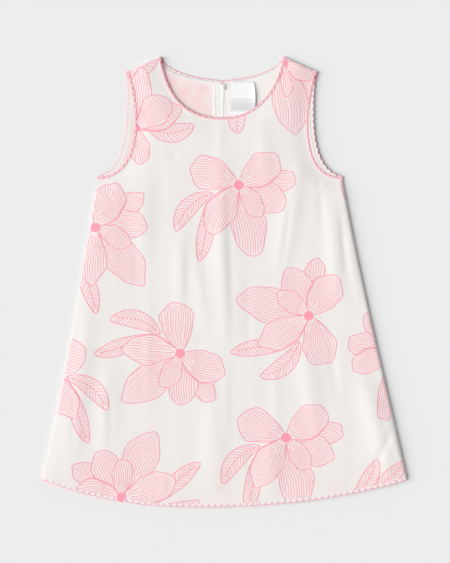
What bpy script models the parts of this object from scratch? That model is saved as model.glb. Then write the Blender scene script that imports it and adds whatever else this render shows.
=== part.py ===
"""A small child's sleeveless A-line shift dress, laid flat on its back with the front uppermost.

The cloth is cut in a front panel and two back panels, with a lined back and a concealed zip at centre
back. A narrow scalloped edging runs round the neck, the armholes and the hem. X runs across the dress,
Y from hem to shoulders and Z up from the surface that it lies on. All sizes are in metres.
"""

import math

import bmesh
import bpy
import numpy as np
from mathutils import Vector

# ---- Finished outline, edging included. The pattern is a half, mirrored about the centre line. ----
HEM_HALF_WIDTH = 0.2190
HEM_CORNER_Y = -0.2373
HEM_LOWEST_Y = -0.2695
HEM_CURVE = 2.37  # power by which the hem rises from its middle to its corner
UNDERARM = (0.1460, 0.1258)
SHOULDER_TIP = (0.1150, 0.2510)
NECK_POINT = (0.0730, 0.2700)
SIDE_BOW = 0.0026  # how far the sides bow in between underarm and hem
FRONT_NECK_Y = 0.1970
BACK_NECK_Y = 0.2420
FRONT_ARMHOLE_DEEPEST = (0.1031, 0.1900)
BACK_ARMHOLE_DEEPEST = (0.1114, 0.2150)

# The points that each curve bends towards between its ends, from the lower end up.
FRONT_NECK_BENDS = ((0.050, FRONT_NECK_Y), (0.066, 0.232))
BACK_NECK_BENDS = ((0.030, BACK_NECK_Y), (0.068, 0.250))
FRONT_ARMHOLE_BENDS = ((0.1150, 0.1265), (0.1031, 0.155), (0.1031, 0.212), (0.1070, 0.232))
BACK_ARMHOLE_BENDS = ((0.1148, 0.1327), (0.1114, 0.175), (0.1114, 0.228), (0.1115, 0.240))

# ---- How the dress was laid: its centre line bends a little and its hem is a little askew. ----
CENTRE_LINE = ((0.270, -0.0025), (0.110, -0.0055), (-0.040, -0.0028), (-0.240, 0.0))  # y, shift in x
HEM_ASKEW = 0.028  # slope across the middle of the hem
ZIP_SHIFT = 0.0024  # the zip lies that much to the right of the front's centre line
ZIP_SHIFT_FULL = 0.012  # the back shifts with it as far as here from the centre line
ZIP_SHIFT_END = 0.066  # and no longer from here

# ---- Walls and gaps ----
CLOTH = 0.0010
SEAM_GAP = 0.0003
EDGING_WIDTH = 0.0026  # from the cloth's edge to a scallop's crest
EDGING_VALLEY = 0.0011  # the same to the notch between two scallops
EDGING_THICKNESS = 0.0008
SCALLOP_PITCH = 0.0075
POINTS_PER_SCALLOP = 4
SCALLOP_FULLNESS = 0.7  # power of a sine: less makes the crests squarer

# ---- Heights above the surface ----
SEAM_HEIGHT = 0.0025  # where front and back meet at the sides and shoulders
FRONT_HEIGHT = 0.0050
LINING_HEIGHT = CLOTH + SEAM_GAP
FRONT_ROLL = 0.0055  # how far in from a seam the front takes to reach its height
BACK_ROLL = 0.0030

# ---- Lining, zip and label ----
LINING_HEM_RISE = 0.048  # above the dress's own hem
LINING_INSET = 0.0042  # left clear at the sides and shoulders, where the back rolls up
LINING_INSET_REACH = 0.042  # the lining is drawn in from the seams over that far
LINING_CLEAR = 0.0025  # between the zip's foot and the lining
ZIP_LENGTH = 0.200
ZIP_TAPE = (0.0017, 0.0112)  # nearest and farthest from the centre line
ZIP_COIL_HALF = 0.0014
ZIP_COIL_HEIGHT = 0.0014
ZIP_TOP_BELOW_NECK = 0.0062
SLIDER_SIZE = (0.0052, 0.0068, 0.0010)
SLIDER_CORNER = 0.00156
LABEL_SPAN = (0.0097, 0.0373)  # across, from the zip
LABEL_LENGTH = 0.0430
LABEL_THICKNESS = 0.0008
LABEL_BULGE = 0.0004
NECK_CORNER_DROP = 0.0030  # the back's corners at the zip turn down into a small notch
NECK_CORNER_WIDTH = 0.0070

# ---- Lattice of a half panel: shares of the way from centre line to side, and from hem to top ----
NECK_SHARE = 0.62  # where the neck point falls on the top edge
UNDERARM_SHARE = 0.70  # where the underarm falls on the side edge
SIDE_PULL = 3.0  # power by which the side's shape fades towards the centre line
STRAP_INWARD = ((-0.1, -1.0), (-0.5, -0.87))  # down the strap at the neck point and at the shoulder tip
NEAR_NECK = 0.02  # there is one more column that share before the neck point
UNDERARM_SPREAD = 1.4  # share of the length for each metre along the armhole by the underarm
SHOULDER_SPREAD = 1.4  # the shoulder slopes, so its roll takes that much more length
FRONT_COLUMNS = (9, 3)  # cells from the centre line to the neck point, and on to the side
FRONT_ROWS = (16, 9)  # cells from hem to underarm, and lines on to the shoulder
BACK_COLUMNS = (6, 3)
BACK_ROWS = (12, 7)
ZIP_COLUMNS = (0.0, 0.012, 0.026, 0.045)  # columns beside the zip, where the corners turn down
LINING_COLUMNS, LINING_ROWS = 8, 16
LINING_ZIP_COLUMNS = (0.0, 0.035)  # the lining's columns beside the zip
LINING_FIRST_COLUMN = 0.10  # and the first of its even columns
ROLL_SHARES = (0.30, 0.05, 0.0)  # lines within a roll, as shares of it from the seam

# Soft folds of the front: where each starts and ends, its half width and how far it stands up.
FRONT_FOLDS = (
    # x_top, y_top, x_low, y_low, half_width, rise
    (0.000, 0.165, 0.004, -0.090, 0.013, 0.0018),
    (-0.046, 0.070, -0.050, -0.035, 0.011, 0.0011),
    (-0.024, 0.030, -0.022, -0.060, 0.010, 0.0009),
    (0.096, 0.145, 0.070, 0.005, 0.012, 0.0015),
    (0.134, 0.100, 0.140, -0.030, 0.010, 0.0013),
    (0.098, -0.075, 0.110, -0.190, 0.013, 0.0012),
    (0.168, -0.110, 0.200, -0.245, 0.013, 0.0019),
    (-0.136, -0.090, -0.144, -0.215, 0.012, 0.0010),
    (-0.160, -0.030, -0.186, -0.235, 0.011, 0.0011),
    (-0.012, -0.120, -0.010, -0.262, 0.015, 0.0012),
    (0.050, 0.200, 0.056, 0.100, 0.011, 0.0009),
    (-0.090, 0.130, -0.094, 0.020, 0.012, 0.0008),
    (0.052, -0.160, 0.058, -0.262, 0.013, 0.0010),
)
FOLD_FULLNESS = 0.8  # power of a sine: less keeps a fold's height further along it


def clear_scene():
    for obj in list(bpy.data.objects):
        bpy.data.objects.remove(obj)


# ---------------------------------------------------------------- the pattern


def bezier(p0, p1, p2, p3, t):
    s = 1 - t
    return tuple(
        s**3 * a + 3 * s * s * t * b + 3 * s * t * t * c + t**3 * d
        for a, b, c, d in zip(p0, p1, p2, p3)
    )


def between(a, b, t):
    return tuple(p + (q - p) * t for p, q in zip(a, b))


def toward(a, b, distance):
    """The point at that distance from a on the way to b."""
    return between(a, b, distance / math.dist(a, b))


INSET = EDGING_WIDTH + SEAM_GAP  # the cloth stops that far short of the finished outline


def cut_back(point, across, up):
    """A point of the finished outline, moved by the inset to where the cloth ends."""
    return point[0] + across * INSET, point[1] + up * INSET


HEM_CORNER = (HEM_HALF_WIDTH, HEM_CORNER_Y)
NECK_C = toward(NECK_POINT, SHOULDER_TIP, INSET)
TIP_C = toward(SHOULDER_TIP, NECK_POINT, INSET)
UNDERARM_C = toward(UNDERARM, HEM_CORNER, INSET)
HEM_C = toward(HEM_CORNER, UNDERARM, INSET)


def neckline(low_y, bends, t):
    """From the neckline's lowest point to the neck point."""
    return bezier(
        cut_back((0.0, low_y), 0, -1), cut_back(bends[0], 0, -1), cut_back(bends[1], 1, 0), NECK_C, t
    )


def front_neck(t):
    return neckline(FRONT_NECK_Y, FRONT_NECK_BENDS, t)


def back_neck(t):
    """The corner at the zip turns down."""
    x, y = neckline(BACK_NECK_Y, BACK_NECK_BENDS, t)
    turn = max(0.0, 1 - x / NECK_CORNER_WIDTH)
    return x, y - NECK_CORNER_DROP * turn * turn


def armhole(deepest, bends, t):
    """From the underarm to the shoulder tip, in two curves that join halfway at the deepest point."""
    deep = cut_back(deepest, -1, 0)
    if t < 0.5:
        return bezier(UNDERARM_C, cut_back(bends[0], -1, -1), cut_back(bends[1], -1, 0), deep, 2 * t)
    return bezier(deep, cut_back(bends[2], -1, 0), cut_back(bends[3], -1, 0), TIP_C, 2 * t - 1)


def front_armhole(t):
    return armhole(FRONT_ARMHOLE_DEEPEST, FRONT_ARMHOLE_BENDS, t)


def back_armhole(t):
    """The back's is cut less deep, so it shows beyond the front's."""
    return armhole(BACK_ARMHOLE_DEEPEST, BACK_ARMHOLE_BENDS, t)


def hem(t):
    """From the centre of the hem to its corner."""
    low = HEM_LOWEST_Y + INSET
    return HEM_C[0] * t, low + (HEM_C[1] - low) * t**HEM_CURVE


def side_bow(t):
    return 4 * SIDE_BOW * t * (1 - t)


def side(arm_curve, v):
    if v <= UNDERARM_SHARE:
        t = v / UNDERARM_SHARE
        x, y = between(HEM_C, UNDERARM_C, t)
        return x - side_bow(t), y
    return arm_curve((v - UNDERARM_SHARE) / (1 - UNDERARM_SHARE))


def top(neck_curve, u):
    if u <= NECK_SHARE:
        return neck_curve(u / NECK_SHARE)
    return between(NECK_C, TIP_C, (u - NECK_SHARE) / (1 - NECK_SHARE))


def half_panel(neck_curve, arm_curve, u, v):
    """A point of the half pattern, u from centre line to side and v from hem to top (a Coons patch)."""
    centre = between(hem(0), neck_curve(0), v)
    edge, low, high = side(arm_curve, v), hem(u), top(neck_curve, u)
    pull = u**SIDE_PULL
    corners = (hem(0), hem(1), neck_curve(0), TIP_C)
    shares = ((1 - pull) * (1 - v), pull * (1 - v), (1 - pull) * v, pull * v)
    return tuple(
        (1 - v) * low[k]
        + v * high[k]
        + (1 - pull) * centre[k]
        + pull * edge[k]
        - sum(share * corner[k] for share, corner in zip(shares, corners))
        for k in (0, 1)
    )


def front_point(u, v):
    return half_panel(front_neck, front_armhole, u, v)


def back_point(u, v):
    return half_panel(back_neck, back_armhole, u, v)


# ---------------------------------------------------------------- from pattern to laid cloth

LEAN = np.polyfit(*zip(*CENTRE_LINE), 3)


def lay(x, y, z):
    """A point of the pattern where it lies."""
    low = min(1.0, max(0.0, (UNDERARM[1] - y) / (UNDERARM[1] - HEM_CORNER_Y)))
    askew = HEM_ASKEW * x * (1 - (x / HEM_HALF_WIDTH) ** 2) * low
    return Vector((x + float(np.polyval(LEAN, y)), y + askew, z))


def lay_back(x, y, z):
    """The same for the back, its lining, the zip and the label."""
    beyond = max(0.0, abs(x) - ZIP_SHIFT_FULL) / (ZIP_SHIFT_END - ZIP_SHIFT_FULL)
    return lay(x + ZIP_SHIFT * max(0.0, 1 - beyond), y, z)


def inside_seam(x, y, a, b):
    """How far a point is inside the straight seam from a to b, the direction inwards, and how far along."""
    run = (b[0] - a[0], b[1] - a[1])
    length = math.hypot(*run)
    inward = (run[1] / length, -run[0] / length)
    along = ((x - a[0]) * run[0] + (y - a[1]) * run[1]) / length**2
    distance = (x - a[0]) * inward[0] + (y - a[1]) * inward[1]
    return distance, inward, min(1.0, max(0.0, along))


def seam_distances(x, y):
    """How far a point of the half pattern is inside the side seam and inside the shoulder seam, each with
    a direction inwards that stays within the cloth."""
    distance, inward, along = inside_seam(x, y, UNDERARM_C, HEM_C)
    side_seam = (max(0.0, distance - side_bow(along)), inward)
    distance, inward, along = inside_seam(x, y, NECK_C, TIP_C)
    return side_seam, (max(0.0, distance), between(*STRAP_INWARD, along))


def rolled(x, y, reach):
    """How far the cloth has turned from upright at a seam (0) to level (1), and which way is inwards."""
    level, lean_x, lean_y = 1.0, 0.0, 0.0
    for distance, inward in seam_distances(x, y):
        upright = 1 - min(distance / reach, 1.0)
        level *= math.sqrt(max(0.0, 1 - upright * upright))
        lean_x += inward[0] * upright
        lean_y += inward[1] * upright
    return level, lean_x, lean_y


def fold_rise(x, y):
    """Height that the soft folds add at a point, with x measured across the whole dress."""
    total = 0.0
    for x_top, y_top, x_low, y_low, half_width, rise in FRONT_FOLDS:
        along = (y_top - y) / (y_top - y_low)
        if 0 < along < 1:
            across = (x - x_top - (x_low - x_top) * along) / half_width
            total += rise * math.sin(math.pi * along) ** FOLD_FULLNESS * math.exp(-across * across)
    return total


def front_wall(sign, u, v, inside):
    """A point of the front's outer face, or of its inner face."""
    x, y = front_point(u, v)
    level, lean_x, lean_y = rolled(x, y, FRONT_ROLL)
    seam = SEAM_HEIGHT + SEAM_GAP / 2
    z = seam + (FRONT_HEIGHT + fold_rise(sign * x, y) - seam) * level
    if inside:
        x, y, z = x + CLOTH * lean_x, y + CLOTH * lean_y, z - CLOTH * level
    return lay(sign * x, y, z)


def back_wall(sign, u, v, inside):
    """A point of the back's outer face, which lies on the surface, or of its inner face."""
    x, y = back_point(u, v)
    level, lean_x, lean_y = rolled(x, y, BACK_ROLL)
    z = (SEAM_HEIGHT - SEAM_GAP / 2) * (1 - level)
    if inside:
        x, y, z = x + CLOTH * lean_x, y + CLOTH * lean_y, z + CLOTH * level
    return lay_back(sign * max(x, SEAM_GAP / 2), y, z)


def lining_wall(sign, u, v, inside):
    """A point of the lining's lower face, on the back, or of its upper face, inside the dress."""
    x, y = back_point(u, LINING_HEM_SHARE + (1 - LINING_HEM_SHARE) * v)
    for distance, inward in seam_distances(x, y):
        push = LINING_INSET * max(0.0, 1 - distance / LINING_INSET_REACH)
        x, y = x + inward[0] * push, y + inward[1] * push
    if u > 0:
        x = max(x, ZIP_TAPE[1] + SEAM_GAP)
    return lay_back(sign * max(x, SEAM_GAP / 2), y, LINING_HEIGHT + (CLOTH if inside else 0.0))


BACK_LENGTH = BACK_NECK_Y - HEM_LOWEST_Y
LINING_HEM_SHARE = LINING_HEM_RISE / BACK_LENGTH
ZIP_TOP = BACK_NECK_Y - ZIP_TOP_BELOW_NECK
ZIP_FOOT = ZIP_TOP - ZIP_LENGTH


# ---------------------------------------------------------------- building with Blender's tools


def material(name, colour, roughness):
    made = bpy.data.materials.get(name)
    if made is None:
        made = bpy.data.materials.new(name)
        made.use_nodes = True
        shader = made.node_tree.nodes["Principled BSDF"]
        shader.inputs["Base Color"].default_value = (*colour, 1.0)
        shader.inputs["Roughness"].default_value = roughness
        shader.inputs["Metallic"].default_value = 0.0
    return made


def add_object(name, bm, finish, sharp_degrees=40):
    bmesh.ops.recalc_face_normals(bm, faces=bm.faces[:])
    mesh = bpy.data.meshes.new(name)
    bm.to_mesh(mesh)
    bm.free()
    mesh.shade_smooth()
    mesh.set_sharp_from_angle(angle=math.radians(sharp_degrees))
    mesh.materials.append(finish)
    obj = bpy.data.objects.new(name, mesh)
    bpy.context.scene.collection.objects.link(obj)
    return obj


def lattice(bm, columns, rows):
    """A flat grid of unit cells with that many lines each way."""
    bmesh.ops.create_grid(bm, x_segments=columns - 1, y_segments=rows - 1, size=0.5)
    for vert in bm.verts:
        vert.co.x = round((vert.co.x + 0.5) * (columns - 1))
        vert.co.y = round((vert.co.y + 0.5) * (rows - 1))


def add_wall(name, finish, columns, rows, place, left_out=None):
    """A cloth wall: a grid is doubled by an extrusion, and each point goes to place(column, row, inside)."""
    bm = bmesh.new()
    lattice(bm, len(columns), len(rows))
    if left_out:
        gone = [f for f in bm.faces if left_out(f.calc_center_median())]
        bmesh.ops.delete(bm, geom=gone, context="FACES")
    doubled = bmesh.ops.extrude_face_region(bm, geom=bm.faces[:], use_keep_orig=True)
    inner = {item for item in doubled["geom"] if isinstance(item, bmesh.types.BMVert)}
    for vert in bm.verts:
        column, row = columns[int(vert.co.x)], rows[int(vert.co.y)]
        vert.co = place(column, row, vert in inner)
    return add_object(name, bm, finish)


def add_sweep(name, finish, sections, closed):
    """A long piece through sections that all have the same number of corners."""
    if closed:
        sections = sections + sections[:1]
    corners = len(sections[0])
    bm = bmesh.new()
    lattice(bm, corners + 1, len(sections))
    for vert in bm.verts:
        vert.co = sections[int(vert.co.y)][int(vert.co.x) % corners]
    bmesh.ops.remove_doubles(bm, verts=bm.verts[:], dist=1e-6)
    if not closed:
        bmesh.ops.holes_fill(bm, edges=bm.edges[:], sides=corners)
    return add_object(name, bm, finish)


# ---------------------------------------------------------------- lattice lines


def column_shares(first, to_neck, to_side, reach):
    """Column positions: some to the neck point, some on to the side, closer where the cloth rolls over."""
    last = 1 - reach / HEM_HALF_WIDTH
    neck = list(np.linspace(first[-1], NECK_SHARE, to_neck + 1)[1:]) + [NECK_SHARE - NEAR_NECK]
    beyond = list(np.linspace(NECK_SHARE, last, to_side + 1)[1:])
    return sorted([*first, *neck, *beyond, *rolled_over(last)])


def row_shares(to_underarm, to_shoulder, reach, length):
    """Row positions, closer at the underarm and the shoulder, where the cloth rolls over."""
    last = 1 - SHOULDER_SPREAD * reach / length
    low = list(np.linspace(0, UNDERARM_SHARE, to_underarm + 1))
    start = UNDERARM_SHARE + UNDERARM_SPREAD * reach
    close = [UNDERARM_SHARE + UNDERARM_SPREAD * reach / 4]
    return low + close + list(np.linspace(start, last, to_shoulder)) + rolled_over(last)


def rolled_over(last):
    """The last positions, from where the cloth leaves the level to the seam."""
    return [1 - (1 - last) * share for share in ROLL_SHARES]


FRONT_HALF_U = column_shares((0.0,), *FRONT_COLUMNS, FRONT_ROLL)
FRONT_V = row_shares(*FRONT_ROWS, FRONT_ROLL, FRONT_NECK_Y - HEM_LOWEST_Y)
BACK_U = column_shares(ZIP_COLUMNS, *BACK_COLUMNS, BACK_ROLL)
BACK_V = row_shares(*BACK_ROWS, BACK_ROLL, BACK_LENGTH)


# ---------------------------------------------------------------- cloth panels


def add_front(finish):
    columns = [-u for u in reversed(FRONT_HALF_U[1:])] + FRONT_HALF_U

    def place(u, v, inside):
        return front_wall(-1 if u < 0 else 1, abs(u), v, inside)

    add_wall("front_panel", finish, columns, FRONT_V, place)


def add_back(name, sign, finish):
    def place(u, v, inside):
        return back_wall(sign, u, v, inside)

    add_wall(name, finish, BACK_U, BACK_V, place)


def add_lining(name, sign, finish):
    """Half of the back's lining. Beside the zip its edge keeps clear of the tape."""
    columns = [*LINING_ZIP_COLUMNS, *np.linspace(LINING_FIRST_COLUMN, 1.0, LINING_COLUMNS)]
    foot = ((ZIP_FOOT - HEM_LOWEST_Y) / BACK_LENGTH - LINING_HEM_SHARE) / (1 - LINING_HEM_SHARE)
    lower = list(np.linspace(0, foot - LINING_CLEAR / BACK_LENGTH, LINING_ROWS // 2))
    rows = lower + list(np.linspace(foot, 1.0, LINING_ROWS // 2))
    notch_row = len(lower) - 1

    def place(u, v, inside):
        return lining_wall(sign, u, v, inside)

    def beside_zip(centre):
        return centre.x < 1 and centre.y > notch_row

    add_wall(name, finish, columns, rows, place, beside_zip)


# ---------------------------------------------------------------- scalloped edging


def edge_run(wall, sign, places):
    """The middle of a panel's cut edge at lattice places (u, v)."""
    return [(wall(sign, u, v, False) + wall(sign, u, v, True)) / 2 for u, v in places]


def outward(points, side_sign):
    """Level unit directions square to a run of points, on its right (1) or its left (-1)."""
    found = []
    for k in range(len(points)):
        run = points[min(k + 1, len(points) - 1)] - points[max(k - 1, 0)]
        found.append(Vector((run.y, -run.x, 0)).normalized() * side_sign)
    return found


def scalloped_run(points, side_sign):
    """Even steps along one run, each a point, its direction out of the cloth and the band's width there.
    The run holds whole scallops, so it starts and ends at a notch."""
    normals = outward(points, side_sign)
    lengths = [0.0]
    for a, b in zip(points, points[1:]):
        lengths.append(lengths[-1] + (b - a).length)
    steps = round(lengths[-1] / SCALLOP_PITCH) * POINTS_PER_SCALLOP
    stops = np.linspace(0, lengths[-1], steps + 1)
    path = zip(*(np.interp(stops, lengths, [p[k] for p in points]) for k in range(3)))
    turn = zip(*(np.interp(stops, lengths, [n[k] for n in normals]) for k in range(3)))
    run = []
    for k, (point, out) in enumerate(zip(path, turn)):
        crest = abs(math.sin(math.pi * k / POINTS_PER_SCALLOP)) ** SCALLOP_FULLNESS
        width = EDGING_VALLEY + (EDGING_WIDTH - EDGING_VALLEY) * crest
        run.append((Vector(point), Vector(out).normalized(), width))
    return run


def add_edging(name, finish, pieces, closed):
    """A flat band along a cut edge, its outer side drawn in a row of scallops. Where it passes from back to
    front at a seam it stands upright."""
    runs = [scalloped_run(points, side_sign) for points, side_sign in pieces]
    path = [step for run in runs for step in run]
    starts = {sum(len(run) for run in runs[:k]) for k in range(0 if closed else 1, len(runs))}
    half = EDGING_THICKNESS / 2
    sections = []
    for k, (point, out, width) in enumerate(path):
        following = (k + 1) % len(path)
        open_start, open_end = not closed and k == 0, not closed and following == 0
        before = point if open_start or following in starts else path[k - 1][0]
        after = point if open_end or k in starts else path[following][0]
        through = (after - before).cross(out).normalized() * half
        near, far = point + out * SEAM_GAP, point + out * (SEAM_GAP + width)
        sections.append([near - through, near + through, far + through, far - through])
    add_sweep(name, finish, sections, closed)


def neck_pieces():
    """Round the neck from the zip's left side to its right."""
    back = [(u, 1.0) for u in BACK_U if 0 < u <= NECK_SHARE]
    front = [(u, 1.0) for u in FRONT_HALF_U if u <= NECK_SHARE]
    across = edge_run(front_wall, -1, reversed(front)) + edge_run(front_wall, 1, front[1:])
    return [
        (edge_run(back_wall, -1, back), 1),
        (across, -1),
        (edge_run(back_wall, 1, list(reversed(back))), 1),
    ]


def armhole_pieces(sign):
    """Round one armhole, up the front and down the back."""
    front = [(1.0, v) for v in FRONT_V if v >= UNDERARM_SHARE]
    back = [(1.0, v) for v in reversed(BACK_V) if v >= UNDERARM_SHARE]
    return [
        (edge_run(front_wall, sign, front), sign),
        (edge_run(back_wall, sign, back), -sign),
    ]


def hem_pieces():
    """Round the hem, along the front from left to right and back along the back."""
    front = [(u, 0.0) for u in FRONT_HALF_U]
    back = [(u, 0.0) for u in BACK_U]
    across = edge_run(front_wall, -1, reversed(front)) + edge_run(front_wall, 1, front[1:])
    under = edge_run(back_wall, 1, reversed(back)) + edge_run(back_wall, -1, back)
    return [(across, 1), (under, -1)]


# ---------------------------------------------------------------- zip and label


def add_strip(name, finish, x_low, x_high, z_low, z_high, y_low, y_high, rows=6):
    """A straight flat strip beside the centre line."""
    sections = []
    for y in np.linspace(y_low, y_high, rows):
        ring = ((x_low, z_low), (x_high, z_low), (x_high, z_high), (x_low, z_high))
        sections.append([lay_back(x, y, z) for x, z in ring])
    add_sweep(name, finish, sections, closed=False)


def add_zip(tape_finish, slider_finish):
    near, far = ZIP_TAPE
    tape_top = LINING_HEIGHT + CLOTH
    for name, sign in (("zip_tape_left", -1), ("zip_tape_right", 1)):
        low, high = sorted((sign * near, sign * far))
        add_strip(name, tape_finish, low, high, LINING_HEIGHT, tape_top, ZIP_FOOT, ZIP_TOP)
    top_z = LINING_HEIGHT + ZIP_COIL_HEIGHT
    half = ZIP_COIL_HALF
    add_strip("zip_coil", tape_finish, -half, half, LINING_HEIGHT, top_z, ZIP_FOOT, ZIP_TOP)
    add_slider(slider_finish, top_z + SEAM_GAP)


def add_slider(finish, z_low):
    """The slider's back plate, run up to the top of the zip."""
    bm = bmesh.new()
    bmesh.ops.create_cube(bm, size=1.0)
    width, length, thickness = SLIDER_SIZE
    bmesh.ops.scale(bm, vec=(width, length, thickness), verts=bm.verts[:])
    corners = [e for e in bm.edges if abs((e.verts[0].co - e.verts[1].co).z) > thickness / 2]
    bmesh.ops.bevel(
        bm, geom=corners, offset=SLIDER_CORNER, segments=3, profile=0.5, affect="EDGES", material=-1
    )
    centre = lay_back(0.0, ZIP_TOP - length / 2, z_low + thickness / 2)
    bmesh.ops.translate(bm, vec=centre, verts=bm.verts[:])
    add_object("zip_slider", bm, finish)


def add_label(finish):
    """A ribbon label sewn in at the back neck, bowed a little up from the lining."""
    x_low, x_high = LABEL_SPAN
    y_high = BACK_NECK_Y - EDGING_WIDTH
    low_z = LINING_HEIGHT + CLOTH + SEAM_GAP

    def place(x, along, inside):
        bow = LABEL_BULGE * math.sin(math.pi * along)
        z = low_z + bow + (LABEL_THICKNESS if inside else 0.0)
        return lay_back(x, y_high - LABEL_LENGTH * along, z)

    add_wall("neck_label", finish, list(np.linspace(x_low, x_high, 4)), list(np.linspace(0, 1, 9)), place)


# ---------------------------------------------------------------- the dress


def main():
    clear_scene()
    cloth = material("cotton_cloth", (0.90, 0.89, 0.86), 0.85)
    lining = material("cotton_lining", (0.88, 0.84, 0.82), 0.9)
    thread = material("edging_thread", (0.93, 0.35, 0.45), 0.7)
    tape = material("zip_tape", (0.90, 0.90, 0.88), 0.75)
    nylon = material("zip_nylon", (0.86, 0.86, 0.84), 0.4)
    satin = material("label_satin", (0.86, 0.86, 0.86), 0.45)

    add_front(cloth)
    add_back("back_panel_left", -1, cloth)
    add_back("back_panel_right", 1, cloth)
    add_lining("back_lining_left", -1, lining)
    add_lining("back_lining_right", 1, lining)
    add_edging("neck_edging", thread, neck_pieces(), closed=False)
    add_edging("armhole_edging_left", thread, armhole_pieces(-1), closed=True)
    add_edging("armhole_edging_right", thread, armhole_pieces(1), closed=True)
    add_edging("hem_edging", thread, hem_pieces(), closed=True)
    add_zip(tape, nylon)
    add_label(satin)


main()
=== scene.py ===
"""Finish of a small child's sleeveless A-line shift dress, laid flat on its back with the front uppermost.

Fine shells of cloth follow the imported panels, and carry a line print of large flowers, a scalloped
thread edging, a lining, a zip and a neck label. X runs across the dress, Y from hem to shoulders and
Z up from the surface that it lies on. All sizes are in metres.
"""

import math
import random

import bmesh
import bpy
import numpy as np
from bpy.props import FloatProperty, FloatVectorProperty, PointerProperty
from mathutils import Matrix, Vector, noise


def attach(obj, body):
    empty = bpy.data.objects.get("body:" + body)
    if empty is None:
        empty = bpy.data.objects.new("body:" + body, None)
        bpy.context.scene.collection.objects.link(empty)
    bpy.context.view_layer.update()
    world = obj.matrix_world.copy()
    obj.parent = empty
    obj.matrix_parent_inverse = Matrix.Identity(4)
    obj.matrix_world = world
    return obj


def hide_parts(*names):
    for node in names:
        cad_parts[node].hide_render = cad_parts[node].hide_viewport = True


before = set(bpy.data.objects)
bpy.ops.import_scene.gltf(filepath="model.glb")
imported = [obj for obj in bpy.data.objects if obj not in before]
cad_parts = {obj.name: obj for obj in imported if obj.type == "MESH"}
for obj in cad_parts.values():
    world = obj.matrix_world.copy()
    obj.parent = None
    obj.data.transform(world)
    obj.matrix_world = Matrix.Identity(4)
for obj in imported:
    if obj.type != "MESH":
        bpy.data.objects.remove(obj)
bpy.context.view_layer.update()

bl_info = {
    "name": "Shift dress finish",
    "version": (1, 0, 0),
    "blender": (4, 5, 0),
    "location": "3D View > Sidebar > Dress",
    "description": "Cloth, print, edging, zip and label of a shift dress laid flat",
    "category": "Object",
}

SIDES = (("left", -1), ("right", 1))

# ---- Finished outline, edging included. The pattern is a half, mirrored about the centre line. ----
HEM_HALF_WIDTH = 0.2190
HEM_CORNER_Y = -0.2373
HEM_LOWEST_Y = -0.2695
HEM_CURVE = 2.37  # power of its rise from the centre to the corner
UNDERARM = (0.1460, 0.1258)
SHOULDER_TIP = (0.1150, 0.2510)
NECK_POINT = (0.0730, 0.2700)
SIDE_BOW = 0.0026  # how far the side seam is hollowed halfway down
FRONT_NECK_Y = 0.1970
BACK_NECK_Y = 0.2420
FRONT_ARMHOLE_DEEPEST = (0.1031, 0.1900)
BACK_ARMHOLE_DEEPEST = (0.1114, 0.2150)
FRONT_NECK_BENDS = ((0.050, FRONT_NECK_Y), (0.066, 0.232))
BACK_NECK_BENDS = ((0.030, BACK_NECK_Y), (0.068, 0.250))
FRONT_ARMHOLE_BENDS = ((0.1150, 0.1265), (0.1031, 0.155), (0.1031, 0.212), (0.1070, 0.232))
BACK_ARMHOLE_BENDS = ((0.1148, 0.1327), (0.1114, 0.175), (0.1114, 0.228), (0.1115, 0.240))
NECK_CORNER_DROP = 0.0030  # the back neck's corner at the zip turns down
NECK_CORNER_WIDTH = 0.0070
NECK_POINTS, ARMHOLE_POINTS = 80, 90

# ---- How the dress was laid ----
CENTRE_LINE = ((0.270, -0.0025), (0.110, -0.0055), (-0.040, -0.0028), (-0.240, 0.0))  # y, then x
HEM_ASKEW = 0.028
ZIP_SHIFT = 0.0024  # the back's centre lies this much to the right, and less towards its sides
ZIP_SHIFT_FULL = 0.012
ZIP_SHIFT_END = 0.066
ARM_SHIFT = 0.0035  # the front's right armhole edge is laid out by this much
ARM_SHIFT_REACH = 0.022
ARM_SHIFT_FULLNESS = 0.8

# ---- Heights above the surface, and how far in from a seam the cloth rolls over ----
SEAM_GAP = 0.0003
SEAM_HEIGHT = 0.0025
FRONT_HEIGHT = 0.0050
LEFT_ROLL = 0.0011
RIGHT_ROLL = 0.0040
BACK_ROLL = 0.0030
BACK_UNDERSIDE = 0.0002
LINING_HEIGHT = 0.0014
LINING_LOW = 0.0008
LINING_RISES_OVER = 0.012
LINING_CREASE_SHARE = 0.6
CENTRE_SEAM_GROOVE = 0.0005
CENTRE_SEAM_WIDTH = 0.0011

# ---- How far the front's edges sink onto the back, and the back's armhole edges stand up ----
NECK_SINK = 0.0013
ARM_SINK = 0.0018
SINK_REACH = 0.013
SLOPE = 0.0009  # down to the left side seam
SLOPE_REACH = 0.018
LIFT = 0.0020
LIFT_REACH = 0.011
RIGHT_LIFT = 0.0005
RIGHT_LIFT_REACH = 0.008

# ---- Folds, creases and streaks ----
FOLD_FULLNESS = 0.8  # power of their rise along their length
CREASE_FULLNESS = 1.0
STREAK_HEIGHT = 0.00022
STREAK_WIDTH = 0.016
STREAK_LENGTH = 0.110
STREAK_SEED = 3.7

# ---- Lattices. The roll at a seam has its own columns, over a little more than its reach. ----
NECK_SHARE = 0.62
UNDERARM_SHARE = 0.70
SIDE_PULL = 3.0  # power by which the side's curve fades towards the centre
ROLL_COLUMNS = 9
FRONT_COLUMNS, FRONT_ROWS = 100, 176
BACK_COLUMNS, BACK_ROWS = 70, 150
LINING_COLUMNS, LINING_ROWS = 60, 110
SIDE_ROLL_SPREAD = 1.3
TOP_ROLL_SPREAD = 1.6
CENTRE_SHARE = 1e-6  # just beside the centre line
CUT_POINTS = 60
PROBE = 0.0002  # step from which the cloth's direction is taken

# ---- Lining ----
LINING_HEM_RISE = 0.048
LINING_INSET = 0.0042
LINING_INSET_REACH = 0.042
LINING_FIRST_COLUMN = 0.0019

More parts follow.
